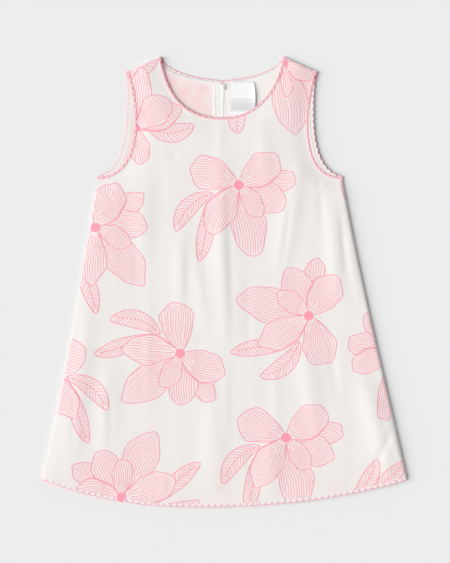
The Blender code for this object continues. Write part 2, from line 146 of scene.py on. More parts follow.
# ---- Edging ----
EDGING_WIDTH = 0.0026
EDGING_VALLEY = 0.0011
SCALLOP_PITCH = 0.0075
STEPS_PER_SCALLOP = 14
SCALLOP_FULLNESS = 0.7
FRONT_SCALLOP_SHARE = 0.4  # scallops that are turned up on edge look shallower
BACK_NECK_SCALLOP_SHARE = 0.8
NECK_INNER_REACH = 0.0
ARM_INNER_REACH = 0.0002
INNER_FULLNESS = 0.9
INNER_SHARE = 0.8  # the inner thread's radius, as a share of the outer one's
INNER_HEIGHT = 0.7  # in radii
BORDER_LAP = 0.0007
BORDER_TUCK = 0.00003
BORDER_ROWS = 5
STEPS_PER_TWIST = 6
PLY_PITCH = 0.0026
PLY_SPREAD = 0.80
EDGING_DROP = 0.00020
LOWEST_THREAD = 0.00062
STITCH_REACH = 0.0004
STITCH_POINTS = 6
NOTCH_STITCH_HEIGHT, NOTCH_STITCH_ARCH = 0.6, 0.5  # in radii
EDGE_POINTS = 240
# Where the edging thread gets painted shade, a deeper pink
PAINTED_SHADE_SPOTS = ((0.1095, 0.2440), (-0.0730, 0.2630))  # right shoulder's tip, left neck point
PAINTED_SHADE_REACH = 0.0065

# ---- Zip ----
ZIP_LENGTH = 0.200
ZIP_TAPE = (0.0002, 0.0112)
ZIP_TOP_BELOW_NECK = 0.0062
ZIP_TOP = BACK_NECK_Y - ZIP_TOP_BELOW_NECK
ZIP_FOOT = ZIP_TOP - ZIP_LENGTH
TAPE_TOP = 0.00225
TAPE_CORD = 0.0015
TAPE_CORD_HEIGHT = 0.00010
TAPE_DIP = 0.00045
TAPE_DIP_END = 0.0014
TAPE_COLUMNS, TAPE_ROWS = 49, 61
COIL_CENTRE_X = 0.00068
COIL_HALF_WIDTH = 0.00062
COIL_HALF_HEIGHT = 0.00030
COIL_HEIGHT = 0.00210
COIL_PITCH = 0.00095
STEPS_PER_COIL = 8
COIL_CORDS = (-0.00095, -0.0003, 0.0003, 0.00095)
CORD_SHARE = 1.25  # a filler cord's radius, as a share of the coil wire's
CORD_POINTS = 40
SLIDER_SIZE = (0.0052, 0.0068, 0.0009)
SLIDER_PARTS = ((1.0, 1.0, 0.0), (0.34, 0.736, 0.45))  # shares of width and length, rise in thicknesses
SLIDER_FOOT = 0.72  # width of its lower end, as a share of the upper one's
SLIDER_CORNER = 0.35
SLIDER_SHARP = 35  # angle in degrees from which its edges shade sharp
SLIDER_HEIGHT = 0.0033

# ---- Label and stitches ----
LABEL_SPAN = (0.0097, 0.0373)
LABEL_LENGTH = 0.0430
LABEL_TOP = BACK_NECK_Y - EDGING_WIDTH
LABEL_LOW = 0.0019
LABEL_LAYERS_APART = 0.0007
LABEL_THICKNESS = 0.00015
LABEL_FOLD = 0.015  # the share of a layer's length that turns round the fold
LABEL_LAYER_END = 0.49  # where the rows of a layer end, as a share of the whole loop
LABEL_BULGE = 0.0005
LABEL_BULGE_LEFT = 0.4  # its share at the left edge
LABEL_CURL = 0.0013
LABEL_CURL_SHARE = 0.30
LABEL_CURL_TURN = 1.15
LABEL_CURL_FULLNESS = 0.8
LOWER_CURL = 0.55
LABEL_WIDER = 0.0006
LABEL_BOW = 0.0024
LABEL_BOW_FULL = 0.55
LABEL_COLUMNS, LABEL_LOWER_ROWS, LABEL_FOLD_ROWS, LABEL_UPPER_ROWS = 41, 14, 9, 60
LABEL_BANDS = (
    # start and end below the label's top, strength
    (0.0200, 0.0256, 0.62),
    (0.0256, 0.0352, 0.92),
)
LABEL_BAND_EDGE = 0.0007
# The band's fall-off to the left is painted shade: it is darker towards the curled right edge.
LABEL_BAND_LEFT = 0.70  # strength at its left end, as a share of the right one's
STITCH = 0.0022
STITCH_GAP = 0.0007
SEWN_POINTS = 5
SEWN_DEPTH = 0.2  # in radii
TAPE_STITCHES_IN = 0.0012  # from the tape's outer edge
TAPE_STITCHES_END = 0.002
TAPE_STITCH_HEIGHT = 0.00235
LABEL_STITCHES_DOWN = 0.0015
LABEL_STITCHES_END = 0.001
LABEL_STITCH_HEIGHT = 0.0029

# ---- What shows faintly through the front and through the lining ----
LINING_HEM_BLUR = 0.0012
LINING_HEM_TINT = 0.10
BLOT_TINT = 0.55
BLOTS = (
    # x, y, half width, half height
    (-0.004, -0.245, 0.010, 0.009),
    (0.131, -0.246, 0.008, 0.007),
)
# Where the tint of the print under the lining starts, and over what it grows full
TINT_FROM_ZIP = (0.004, 0.020)
TINT_FROM_SIDE = (-0.085, 0.012)
TINT_FROM_NECK = (0.002, 0.005)
ARM_TINT = 0.40
ARM_TINT_START = 0.092
PATCH_SHARE = 0.26  # how much that tint comes and goes
PATCH_WAVES = ((260, 90), (-60, 210))

# ---- Finishes. A tone is a share of its colour. ----
LINING_THREADS = 0.8  # pitch of the lining's threads, as a share of the cloth's
NYLON_GRAIN_TONE = 0.93
PAPER_CLOUD_TONE = 1.004

# ---- Stage ----
FLOOR_HALF = 14.0
AMBIENT = 0.36
KEY_STRENGTH = 3.42
KEY_SIZE = 60  # angles in degrees, the azimuth from +X towards +Y
KEY_AZIMUTH = 190
KEY_ELEVATION = 36
LENS = 100
SENSOR = 36
VIEW_HEIGHT = 0.6756
VIEW_CENTRE_X = 0.0005

# ---- Soft folds of the front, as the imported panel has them. ----
FRONT_FOLDS = (
    # x_top, y_top, x_low, y_low, half_width, rise
    (0.000, 0.165, 0.004, -0.090, 0.013, 0.0018),
    (-0.046, 0.070, -0.050, -0.035, 0.011, 0.0011),
    (-0.024, 0.030, -0.022, -0.060, 0.010, 0.0009),
    (0.096, 0.145, 0.070, 0.005, 0.012, 0.0015),
    (0.134, 0.100, 0.140, -0.030, 0.010, 0.0013),
    (0.098, -0.075, 0.110, -0.190, 0.013, 0.0012),
    (0.168, -0.110, 0.200, -0.245, 0.013, 0.0019),
    (-0.136, -0.090, -0.144, -0.215, 0.012, 0.0010),
    (-0.160, -0.030, -0.186, -0.235, 0.011, 0.0011),
    (-0.012, -0.120, -0.010, -0.262, 0.015, 0.0012),
    (0.050, 0.200, 0.056, 0.100, 0.011, 0.0009),
    (-0.090, 0.130, -0.094, 0.020, 0.012, 0.0008),
    (0.052, -0.160, 0.058, -0.262, 0.013, 0.0010),
)

# ---- Finer creases that show in the front. A rise below zero is a trough. ----
FRONT_CREASES = (
    # x_top, y_top, x_low, y_low, half_width, rise
    (0.009, 0.130, 0.012, -0.075, 0.0050, -0.0007),
    (0.001, 0.195, 0.000, 0.150, 0.0040, 0.0004),
    (-0.040, 0.050, -0.042, -0.040, 0.0040, -0.0004),
    (-0.020, 0.040, -0.018, -0.040, 0.0040, -0.0004),
    (-0.031, 0.060, -0.030, -0.020, 0.0035, 0.0003),
    (0.086, 0.100, 0.072, 0.012, 0.0040, -0.0006),
    (0.119, 0.130, 0.122, 0.055, 0.0045, -0.0004),
    (0.144, 0.085, 0.150, 0.000, 0.0035, -0.0006),
    (0.152, 0.060, 0.165, -0.035, 0.0040, 0.0004),
    (0.205, -0.170, 0.176, -0.232, 0.0045, -0.0009),
    (0.190, -0.150, 0.212, -0.225, 0.0045, 0.0006),
    (-0.132, 0.125, -0.118, 0.105, 0.0030, 0.0005),
    (-0.140, 0.112, -0.124, 0.090, 0.0030, -0.0004),
    (0.128, 0.122, 0.114, 0.100, 0.0035, 0.0004),
    (-0.056, 0.160, -0.054, 0.140, 0.0045, -0.0003),
    (-0.180, -0.110, -0.182, -0.215, 0.0040, -0.0004),
    (-0.135, -0.120, -0.138, -0.205, 0.0045, -0.0004),
    (0.002, -0.090, 0.003, -0.200, 0.0050, 0.0004),
    (0.030, 0.020, 0.032, -0.110, 0.0050, -0.0003),
    (0.060, -0.085, 0.062, -0.170, 0.0045, 0.0003),
    (0.128, -0.060, 0.136, -0.150, 0.0050, -0.0005),
    (-0.088, -0.020, -0.092, -0.130, 0.0050, 0.0003),
    (0.030, -0.205, 0.034, -0.262, 0.0050, -0.0004),
    (-0.070, -0.210, -0.074, -0.262, 0.0055, 0.0004),
    (-0.100, 0.070, -0.104, -0.010, 0.0045, -0.0003),
)

# ---- Like creases on the hidden back, all raised, because its outer face lies on the surface. ----
BACK_CREASES = (
    # x_top, y_top, x_low, y_low, half_width, rise
    (-0.060, 0.150, -0.072, -0.060, 0.008, 0.0006),
    (-0.030, 0.020, -0.036, -0.170, 0.007, 0.0005),
    (-0.112, 0.060, -0.140, -0.150, 0.008, 0.0007),
    (-0.150, -0.070, -0.178, -0.230, 0.007, 0.0006),
    (-0.090, -0.120, -0.098, -0.250, 0.009, 0.0005),
    (0.050, 0.170, 0.060, -0.010, 0.008, 0.0006),
    (0.100, 0.080, 0.122, -0.120, 0.007, 0.0007),
    (0.034, -0.040, 0.040, -0.230, 0.009, 0.0005),
    (0.150, -0.010, 0.182, -0.200, 0.008, 0.0006),
    (0.086, -0.150, 0.094, -0.255, 0.007, 0.0005),
)

# ---- The print: one bloom, drawn by its petals, the foremost first. ----
BLOOM_PETALS = (
    # direction in degrees, length, half width, bend to the left, end, folded edge
    (-56, 0.046, 0.0120, 0.06, "round", False),
    (38, 0.058, 0.0190, -0.08, "round", True),
    (-26, 0.062, 0.0175, 0.06, "round", False),
    (-121, 0.069, 0.0180, -0.08, "pointed", True),
    (-78, 0.089, 0.0210, 0.03, "pointed", False),
    (160, 0.061, 0.0200, -0.05, "blunt", False),
    (7, 0.069, 0.0135, -0.03, "blunt", False),
)
BLOOM_LEAVES = (
    # start x, start y, direction in degrees, length, half width, bend to the left
    (-0.031, -0.010, -134, 0.063, 0.0105, -0.30),
    (-0.038, -0.024, -98, 0.068, 0.0095, 0.08),
)
SIDE_BLOOM_PETALS = (
    (202, 0.052, 0.0140, -0.05, "round", True),
    (-98, 0.082, 0.0120, 0.05, "blunt", False),
    (165, 0.055, 0.0150, 0.05, "round", False),
    (125, 0.057, 0.0140, -0.06, "pointed", False),
)
SHOULDER_BLOOM_PETALS = (
    (-84, 0.040, 0.0065, 0.06, "round", False),
    (-26, 0.038, 0.0110, 0.05, "round", True),
    (-82, 0.084, 0.0205, 0.03, "pointed", False),
    (-48, 0.050, 0.0150, -0.06, "blunt", False),
    (8, 0.052, 0.0130, 0.05, "blunt", False),
)
ARMHOLE_BLOOM_PETALS = (
    (46, 0.052, 0.0180, -0.12, "blunt", False),
    (-80, 0.044, 0.0125, 0.04, "round", False),
    (26, 0.060, 0.0150, -0.06, "round", True),
    (84, 0.072, 0.0130, -0.06, "round", False),
)
FRONT_BLOOMS = (
    # x, y, turn in degrees, mirrored, leaves
    (0.0169, 0.1154, 0, False, 2),
    (-0.1547, 0.0646, 28, False, 2),
    (0.1004, -0.0410, -92, True, 2),
    (-0.0535, -0.0862, -62, False, 2),
    (0.0733, -0.1870, 0, False, 2),
    (-0.1235, -0.2582, 141, False, 2),
    (-0.2215, -0.1086, 7, True, 2),
)
SIDE_BLOOM = (0.2009, -0.0846, 0, False, 0)
SHOULDER_BLOOM = (0.0700, 0.2610, 0, False, 0)
ARMHOLE_BLOOM = (-0.1075, 0.1838, 0, False, 0)
PART_BLOOMS = (
    (SIDE_BLOOM, SIDE_BLOOM_PETALS),
    (SHOULDER_BLOOM, SHOULDER_BLOOM_PETALS),
    (ARMHOLE_BLOOM, ARMHOLE_BLOOM_PETALS),
)
FRONT_LEAVES = (
    # start x, start y, direction in degrees, length, half width, bend to the left
    (0.0125, 0.2140, -86, 0.037, 0.0100, 0.02),
    (-0.0930, 0.1860, 2, 0.056, 0.0110, -0.34),
    (0.1520, -0.2620, 58, 0.058, 0.0095, -0.15),
    (0.1760, -0.2500, 40, 0.054, 0.0090, -0.08),
    (0.1400, 0.1330, -78, 0.040, 0.0045, 0.02),
    (-0.1160, 0.2430, 36, 0.045, 0.0100, 0.02),
)
BACK_BLOOMS = (
    (-0.0620, 0.1750, 118, False, 2),
    (-0.1300, 0.0400, -20, True, 2),
    (-0.0600, -0.0700, 64, False, 2),
    (-0.1650, -0.1500, 171, False, 2),
    (-0.0580, -0.2000, -36, True, 2),
    (0.0800, 0.1850, -70, True, 1),
    (0.0950, 0.0500, 25, False, 2),
    (0.1700, -0.0900, -128, True, 1),
    (0.0500, -0.0900, 96, False, 2),
    (0.1250, -0.2100, 12, True, 2),
)

# ---- How petals and leaves are drawn. Waves, ranges and starts in pairs run from lowest to highest. ----
PETAL_ENDS = {
    # how far out it is widest, as a power, and how full its end is
    "round": (1.35, 0.55),
    "blunt": (1.70, 0.46),
    "pointed": (1.22, 0.70),
}
LEAF_END = (1.12, 0.62)
PETAL_STEPS = 44
LINE_STEP = 0.0016
PETAL_RUFFLE = 0.08
RUFFLE_WAVES = (1.8, 2.8)
END_WAVE = 0.022
END_WAVE_POWER = 6
END_WAVES = (0.7, 1.1)
FOLDED_PART = slice(2, -6)
VEIN_SPACING = 0.0032
VEIN_SCATTER = 0.015
VEIN_SWAY = 0.11
SWAY_WAVES = (0.9, 1.4)
VEIN_START = 0.12
SHORT_VEIN_START = 0.30
VEIN_START_SCATTER = (0.8, 1.2)
VEIN_LIMIT = 0.97  # share of the half width
VEIN_END = 0.35  # share of the width that a vein thins out to
VEIN_TAPER = 4
MIDRIB_END = 0.95
RIB_SPACING = 0.0047
RIB_RANGE = (0.08, 0.86)
RIB_POINTS = 9
RIB_FORWARD, RIB_SCATTER = 0.13, 0.03
RIB_REACH = 0.94
RIB_LIMIT = 0.985
CENTRE_RADIUS = 0.0060
CENTRE_POINTS = 13
CENTRE_FULLNESS = 0.92
PRINT_SEED = 7

# ---- Kinds of line, and how high each lies above the cloth ----
OUTLINE, FOLD, VEIN, SPOT = range(4)
INK_HEIGHTS = {VEIN: 0.00010, OUTLINE: 0.00013, FOLD: 0.00016, SPOT: 0.00019}


# ================================================================ the pattern

INSET = EDGING_WIDTH + SEAM_GAP


def point(xy):
    return np.array(xy, float)


def between(a, b, t):
    return a + (b - a) * np.asarray(t, float)[..., None]


def toward(a, b, distance):
    a, b = point(a), point(b)
    return a + (b - a) * distance / math.dist(a, b)


def cut_back(xy, across, up):
    return point((xy[0] + across * INSET, xy[1] + up * INSET))


def bezier(p0, p1, p2, p3, t):
    t = np.asarray(t, float)[..., None]
    s = 1 - t
    return s**3 * p0 + 3 * s * s * t * p1 + 3 * s * t * t * p2 + t**3 * p3


def fade(distance, start, over):
    """From 0 where a distance starts to count to 1 beyond a further one."""
    return np.clip((distance - start) / over, 0, 1)


def near(distance, reach):
    """1 at no distance, falling off smoothly over about that reach."""
    return np.exp(-((distance / reach) ** 2))


HEM_CORNER = (HEM_HALF_WIDTH, HEM_CORNER_Y)
NECK_C = toward(NECK_POINT, SHOULDER_TIP, INSET)
TIP_C = toward(SHOULDER_TIP, NECK_POINT, INSET)
UNDERARM_C = toward(UNDERARM, HEM_CORNER, INSET)
HEM_C = toward(HEM_CORNER, UNDERARM, INSET)


def neckline(low_y, bends, t):
    """From the neckline's lowest point to the neck point."""
    start, bend = cut_back((0.0, low_y), 0, -1), cut_back(bends[0], 0, -1)
    return bezier(start, bend, cut_back(bends[1], 1, 0), NECK_C, t)


def front_neck(t):
    return neckline(FRONT_NECK_Y, FRONT_NECK_BENDS, t)


def back_neck(t):
    """The corner at the zip turns down."""
    curve = neckline(BACK_NECK_Y, BACK_NECK_BENDS, t)
    turn = np.maximum(0.0, 1 - curve[..., 0] / NECK_CORNER_WIDTH)
    curve[..., 1] -= NECK_CORNER_DROP * turn * turn
    return curve


def armhole(deepest, bends, t):
    """From the underarm to the shoulder tip, in two curves that join halfway at the deepest point."""
    t = np.asarray(t, float)
    deep, first = cut_back(deepest, -1, 0), cut_back(bends[0], -1, -1)
    second, third, fourth = (cut_back(bend, -1, 0) for bend in bends[1:])
    low = bezier(UNDERARM_C, first, second, deep, np.minimum(1, 2 * t))
    high = bezier(deep, third, fourth, TIP_C, np.maximum(0, 2 * t - 1))
    return np.where((t < 0.5)[..., None], low, high)


def front_armhole(t):
    return armhole(FRONT_ARMHOLE_DEEPEST, FRONT_ARMHOLE_BENDS, t)


def back_armhole(t):
    return armhole(BACK_ARMHOLE_DEEPEST, BACK_ARMHOLE_BENDS, t)


def hem(t):
    """From the centre of the hem to its corner."""
    t = np.asarray(t, float)
    low = HEM_LOWEST_Y + INSET
    return np.stack([HEM_C[0] * t, low + (HEM_C[1] - low) * t**HEM_CURVE], axis=-1)


def side_bow(t):
    return 4 * SIDE_BOW * t * (1 - t)


def side(arm_curve, v):
    """The side seam and the armhole, from hem to shoulder tip."""
    v = np.asarray(v, float)
    t = np.minimum(1, v / UNDERARM_SHARE)
    seam = between(HEM_C, UNDERARM_C, t)
    seam[..., 0] -= side_bow(t)
    arm = arm_curve(np.maximum(0, (v - UNDERARM_SHARE) / (1 - UNDERARM_SHARE)))
    return np.where((v <= UNDERARM_SHARE)[..., None], seam, arm)


def top(neck_curve, u):
    """The neckline and the shoulder seam, from the centre to the shoulder tip."""
    u = np.asarray(u, float)
    neck = neck_curve(np.minimum(1, u / NECK_SHARE))
    shoulder = between(NECK_C, TIP_C, np.maximum(0, (u - NECK_SHARE) / (1 - NECK_SHARE)))
    return np.where((u <= NECK_SHARE)[..., None], neck, shoulder)


def half_panel(neck_curve, arm_curve, u, v):
    """Points of the half pattern, u from centre line to side and v from hem to top."""
    neck_low, hem_low = neck_curve(np.zeros(1))[0], hem(np.zeros(1))[0]
    centre = between(hem_low, neck_low, v)
    edge, low, high = side(arm_curve, v), hem(u), top(neck_curve, u)
    pull, rise = (u**SIDE_PULL)[..., None], v[..., None]
    corners = (1 - pull) * ((1 - rise) * hem_low + rise * neck_low)
    corners = corners + pull * ((1 - rise) * HEM_C + rise * TIP_C)
    return (1 - rise) * low + rise * high + (1 - pull) * centre + pull * edge - corners


# ================================================================ from pattern to laid cloth

LEAN = np.polyfit(*zip(*CENTRE_LINE), 3)
FRONT_NECKLINE = front_neck(np.linspace(0, 1, NECK_POINTS))
FRONT_ARMHOLE = front_armhole(np.linspace(0, 1, ARMHOLE_POINTS))
BACK_NECKLINE = back_neck(np.linspace(0, 1, NECK_POINTS))
BACK_ARMHOLE = back_armhole(np.linspace(0, 1, ARMHOLE_POINTS))


def askew(x, y):
    low = np.clip((UNDERARM[1] - y) / (UNDERARM[1] - HEM_CORNER_Y), 0, 1)
    return HEM_ASKEW * x * (1 - (x / HEM_HALF_WIDTH) ** 2) * low


def lay(x, y):
    """Where points of the pattern lie."""
    return x + np.polyval(LEAN, y), y + askew(x, y)


def pattern_of(x, y):
    """The points of the pattern that lie at x and y."""
    px, py = x, y
    for _ in range(3):
        px = x - np.polyval(LEAN, py)
        py = y - askew(px, py)
    return px, py


def lay_back(x, y):
    """The same for the back, its lining, the zip and the label, which all lie a little to the right."""
    beyond = np.maximum(0, np.abs(x) - ZIP_SHIFT_FULL) / (ZIP_SHIFT_END - ZIP_SHIFT_FULL)
    return lay(x + ZIP_SHIFT * np.maximum(0, 1 - beyond), y)


def seam_distances(x, y):
    """How far points of the half pattern are inside the side seam and the shoulder seam."""
    found = []
    for a, b, bowed in ((UNDERARM_C, HEM_C, True), (NECK_C, TIP_C, False)):
        run = b - a
        length = math.hypot(*run)
        along = np.clip(((x - a[0]) * run[0] + (y - a[1]) * run[1]) / length**2, 0, 1)
        distance = ((x - a[0]) * run[1] - (y - a[1]) * run[0]) / length
        found.append(np.maximum(0, distance - (side_bow(along) if bowed else 0)))
    return found


def levelled(x, y, reach):
    """0 at a seam, where the cloth stands upright, to 1 where it lies level."""
    level = 1.0
    for distance in seam_distances(np.abs(x), y):
        upright = 1 - np.minimum(distance / reach, 1)
        level = level * np.sqrt(np.maximum(0, 1 - upright * upright))
    return level


def folds(rows, x, y, fullness=CREASE_FULLNESS):
    """Height that folds or creases add at points of the whole pattern."""
    total = np.zeros_like(x)
    for x_top, y_top, x_low, y_low, half_width, rise in rows:
        along = np.clip((y_top - y) / (y_top - y_low), 0, 1)
        across = (x - x_top - (x_low - x_top) * along) / half_width
        total += rise * np.sin(np.pi * along) ** fullness * np.exp(-across * across)
    return total


def streaks(x, y):
    """Faint uneven streaks down the cloth, from -1 to 1."""
    flat = zip(np.ravel(x) / STREAK_WIDTH, np.ravel(y) / STREAK_LENGTH)
    values = [noise.noise(Vector((a, b, STREAK_SEED))) for a, b in flat]
    return np.array(values).reshape(np.shape(x))


def distance_to(edge, x, y):
    """How far points of the whole pattern are from an edge of the half pattern."""
    away = np.hypot(np.abs(x)[..., None] - edge[:, 0], y[..., None] - edge[:, 1])
    return away.min(axis=-1)


def sunk(x, y):
    """How far the front sinks onto the back at its neckline and armholes, and slopes to its left seam."""
    edges = (FRONT_NECKLINE, FRONT_ARMHOLE)
    at_neck, at_arm = (near(distance_to(edge, x, y), SINK_REACH) for edge in edges)
    at_side = np.maximum(0, 1 - seam_distances(np.abs(x), y)[0] / SLOPE_REACH) ** 2 * (x < 0)
    at_opening = np.maximum(at_neck, at_arm)
    return np.maximum(NECK_SINK * at_neck, ARM_SINK * at_arm) + SLOPE * at_side * (1 - at_opening)


def front_height(x, y):
    """Height of the front's outer face."""
    level = levelled(x, y, np.where(x < 0, LEFT_ROLL, RIGHT_ROLL))
    rise = folds(FRONT_FOLDS, x, y, FOLD_FULLNESS) + folds(FRONT_CREASES, x, y)
    rise = rise + STREAK_HEIGHT * streaks(x, y) - sunk(x, y)
    return SEAM_HEIGHT + (FRONT_HEIGHT + rise - SEAM_HEIGHT) * level


def up_armhole(y):
    """How far up the armhole, from 0 at the underarm to 1 at the shoulder."""
    return fade(y, UNDERARM[1], SHOULDER_TIP[1] - UNDERARM[1])


def lifted(x, y):
    """How far the back's armhole edges stand up from the surface, the right one furthest."""
    away = distance_to(BACK_ARMHOLE, x, y)
    further = RIGHT_LIFT * np.sin(np.pi * up_armhole(y)) * (x > 0)
    return LIFT * near(away, LIFT_REACH) + further * near(away, RIGHT_LIFT_REACH)


def back_height(x, y):
    """Height of the back's outer face, which lies on the surface."""
    level = levelled(x, y, BACK_ROLL)
    rise = BACK_UNDERSIDE + folds(BACK_CREASES, x, y)
    rise = rise + CENTRE_SEAM_GROOVE * near(x, CENTRE_SEAM_WIDTH) + lifted(x, y)
    return rise * level + SEAM_HEIGHT * (1 - level)


def arm_shift(x, y):
    """How far the front's right armhole edge is laid out towards the back's."""
    at_edge = near(distance_to(FRONT_ARMHOLE, x, y), ARM_SHIFT_REACH) * (x > 0)
    return ARM_SHIFT * np.sin(np.pi * up_armhole(y)) ** ARM_SHIFT_FULLNESS * at_edge


def before_shift(spots):
    """Laid places of the front as they would be without that shift."""
    x, y = pattern_of(*spots.T)
    return spots - np.column_stack([arm_shift(x - arm_shift(x, y), y), np.zeros(len(x))])


def on_front(x, y):
    """The front's outer face at points of the pattern."""
    return np.stack([*lay(x + arm_shift(x, y), y), front_height(x, y)], axis=-1)


def on_back(x, y):
    """The back's outer face at points of the pattern."""
    return np.stack([*lay_back(x, y), back_height(x, y)], axis=-1)


def on_lining(x, y):
    """The lining's lower face, which follows the back's creases softly and lies close on its armholes."""
    far = fade(distance_to(BACK_ARMHOLE, x, y), LINING_INSET, LINING_RISES_OVER)
    height = LINING_LOW + (LINING_HEIGHT - LINING_LOW) * far + lifted(x, y)
    return np.stack([*lay_back(x, y), height + LINING_CREASE_SHARE * folds(BACK_CREASES, x, y)], axis=-1)


# ================================================================ materials


def linear(hex_colour):
    """An sRGB hex colour as linear red, green and blue."""
    values = [int(hex_colour[k : k + 2], 16) / 255 for k in (1, 3, 5)]
    return tuple(v / 12.92 if v <= 0.04045 else ((v + 0.055) / 1.055) ** 2.4 for v in values)


def add_node(tree, kind, inputs=None, output=0, **settings):
    """Adds a node with its settings, and returns one of its outputs. An input is a value or an output."""
    node = tree.nodes.new(kind)
    for key, value in settings.items():
        setattr(node, key, value)
    for key, value in (inputs or {}).items():
        socket = node.inputs[key]
        if isinstance(value, bpy.types.NodeSocket):
            tree.links.new(value, socket)
        else:
            socket.default_value = value
    return node.outputs[output]


def start_material(name, **values):
    """A material whose shader holds the constant values on its own sockets, and its Object coordinates."""
    made = bpy.data.materials.new(name)
    made.use_nodes = True
    tree = made.node_tree
    shader = tree.nodes["Principled BSDF"]
    for key, value in values.items():
        shader.inputs[key.replace("_", " ")].default_value = value
    return made, tree, shader, add_node(tree, "ShaderNodeTexCoord", output="Object")


def layered(tree, first, *layers):
    """A colour with others laid over it, each by its share from 0 to 1."""
    laid = (*first[:3], 1.0)
    for share, over in layers:
        over = over if isinstance(over, bpy.types.NodeSocket) else (*over[:3], 1.0)
        laid = add_node(tree, "ShaderNodeMix", {0: share, 6: laid, 7: over}, 2, data_type="RGBA")
    return laid


def dress_shader(tree, shader, colour, height=None, distance=0.0, strength=1.0):
    """Gives the shader its colour, and a relief of that distance from a height."""
    tree.links.new(colour, shader.inputs["Base Color"])
    if height is not None:
        relief = {"Height": height, "Distance": distance, "Strength": strength}
        tree.links.new(add_node(tree, "ShaderNodeBump", relief), shader.inputs["Normal"])


def thread_scale(pitch):
    """Scale of a wave texture whose bands repeat at that pitch."""
    return 2 * math.pi / (20 * pitch)


def weave_height(tree, place, pitch, slub):
    """Height of a plain weave: warp and weft bands, made uneven by slubs."""
    stretch = add_node(tree, "ShaderNodeMapping", {"Vector": place, "Scale": (900.0, 60.0, 60.0)})
    slubs = add_node(tree, "ShaderNodeTexNoise", {"Vector": stretch, "Scale": 1.0, "Detail": 2.0})
    bands = {"Vector": place, "Scale": thread_scale(pitch), "Distortion": 0.6, "Detail Scale": 0.4}
    warp, weft = (
        add_node(tree, "ShaderNodeTexWave", bands, "Fac", bands_direction=way) for way in ("X", "Y")
    )
    both = add_node(tree, "ShaderNodeMath", {0: warp, 1: weft}, operation="MAXIMUM")
    return add_node(tree, "ShaderNodeMath", {0: slubs, 1: slub, 2: both}, operation="MULTIPLY_ADD")


def cotton_voile(colours):
    """Fine plain-woven cotton, washed and pressed: matt, off-white, with a soft bloom at grazing angles,
    and painted shade along its left edge, which faces the light. The thread pitch is drawn about twice as
    coarse as real, so that the weave shows."""
    made, tree, shader, place = start_material(
        "cotton voile, plain woven and printed", Roughness=0.86, Sheen_Weight=0.25, Sheen_Roughness=0.45
    )
    wash, through, at_edge = (
        add_node(tree, "ShaderNodeAttribute", output="Fac", attribute_name=name)
        for name in ("wash", "show_through", "lit_edge_painted_shade")
    )
    cloud = add_node(tree, "ShaderNodeTexNoise", {"Vector": place, "Scale": 22.0, "Detail": 3.0})
    base = layered(
        tree,
        colours.cloth,
        (cloud, colours.cloth_shade),
        (wash, colours.wash),
        (through, colours.show_through),
        # painted shade: the left edge, which faces the key light, is dimmed so that it shows no bright rim
        (at_edge, colours.cloth_edge_painted_shade),
    )
    weave = weave_height(tree, place, bpy.context.scene.dress_sizes.thread_pitch, slub=0.8)
    dress_shader(tree, shader, base, weave, distance=0.00005, strength=0.7)
    return made


def lining_voile(colours):
    """Thin cotton voile lining, through which the back's print shows as a blurred pink. Its threads are
    finer than the cloth's."""
    made, tree, shader, place = start_material(
        "cotton voile lining, plain woven", Roughness=0.88, Sheen_Weight=0.2
    )
    through = add_node(tree, "ShaderNodeAttribute", output="Fac", attribute_name="show_through")
    base = layered(tree, colours.lining, (through, colours.lining_pink))
    pitch = LINING_THREADS * bpy.context.scene.dress_sizes.thread_pitch
    weave = weave_height(tree, place, pitch, slub=0.6)
    dress_shader(tree, shader, base, weave, distance=0.00004, strength=0.7)
    return made


def grained(name, tones, scale, detail=2.0, relief=None, deeper=(), **values):
    """A finish of two tones that follow its fibres or its grain, which may stand out by a relief."""
    made, tree, shader, place = start_material(name, **values)
    grain = add_node(tree, "ShaderNodeTexNoise", {"Vector": place, "Scale": scale, "Detail": detail})
    layers = [(grain, tones[1])]
    for attribute, tone in deeper:
        share = add_node(tree, "ShaderNodeAttribute", output="Fac", attribute_name=attribute)
        layers.append((share, tone))
    dress_shader(tree, shader, layered(tree, tones[0], *layers), grain if relief else None, relief)
    return made


def printed_ink(colours):
    """Pigment printed on cotton: matt, a little uneven where the threads took less of it."""
    name = "pigment print, screen printed on cotton"
    return grained(name, (colours.ink, colours.ink_light), 260.0, Roughness=0.85, Sheen_Weight=0.15)


def edging_thread(colours):
    """Mercerised cotton thread, two-ply and twisted: a soft gloss along the strands. It has painted shade,
    a deeper pink, at the right shoulder's tip and the left neck point."""
    return grained(
        "mercerised cotton thread, two-ply",
        (colours.thread, colours.thread_shade),
        1500.0,
        relief=0.00005,
        deeper=[("edging_painted_shade", colours.thread_painted_shade)],
        Roughness=0.55,
        Sheen_Weight=0.3,
        Sheen_Roughness=0.4,
    )


def sewing_thread(colours):
    """Spun polyester sewing thread, off-white: matt, with fine fibres that catch the light."""
    tones = (colours.tape, colours.cloth_shade)
    return grained(
        "spun polyester sewing thread", tones, 2000.0, relief=0.00004, Roughness=0.6, Sheen_Weight=0.2
    )


def zip_tape_weave(colours):
    """Woven polyester zip tape: a fine twill with lengthwise cords, and painted shade between the cords.
    """
    made, tree, shader, place = start_material(
        "woven polyester zip tape", Roughness=0.7, Sheen_Weight=0.15
    )
    cords, twill = (
        add_node(
            tree,
            "ShaderNodeTexWave",
            {"Vector": place, "Scale": thread_scale(pitch)},
            "Fac",
            bands_direction=direction,
        )
        for pitch, direction in ((0.0011, "X"), (0.0006, "DIAGONAL"))
    )
    height = add_node(tree, "ShaderNodeMath", {0: twill, 1: 0.5, 2: cords}, operation="MULTIPLY_ADD")
    # painted shade: the tape is darker in the grooves between its cords
    base = layered(tree, colours.tape_painted_shade, (cords, colours.tape))
    dress_shader(tree, shader, base, height, distance=0.00010)
    return made


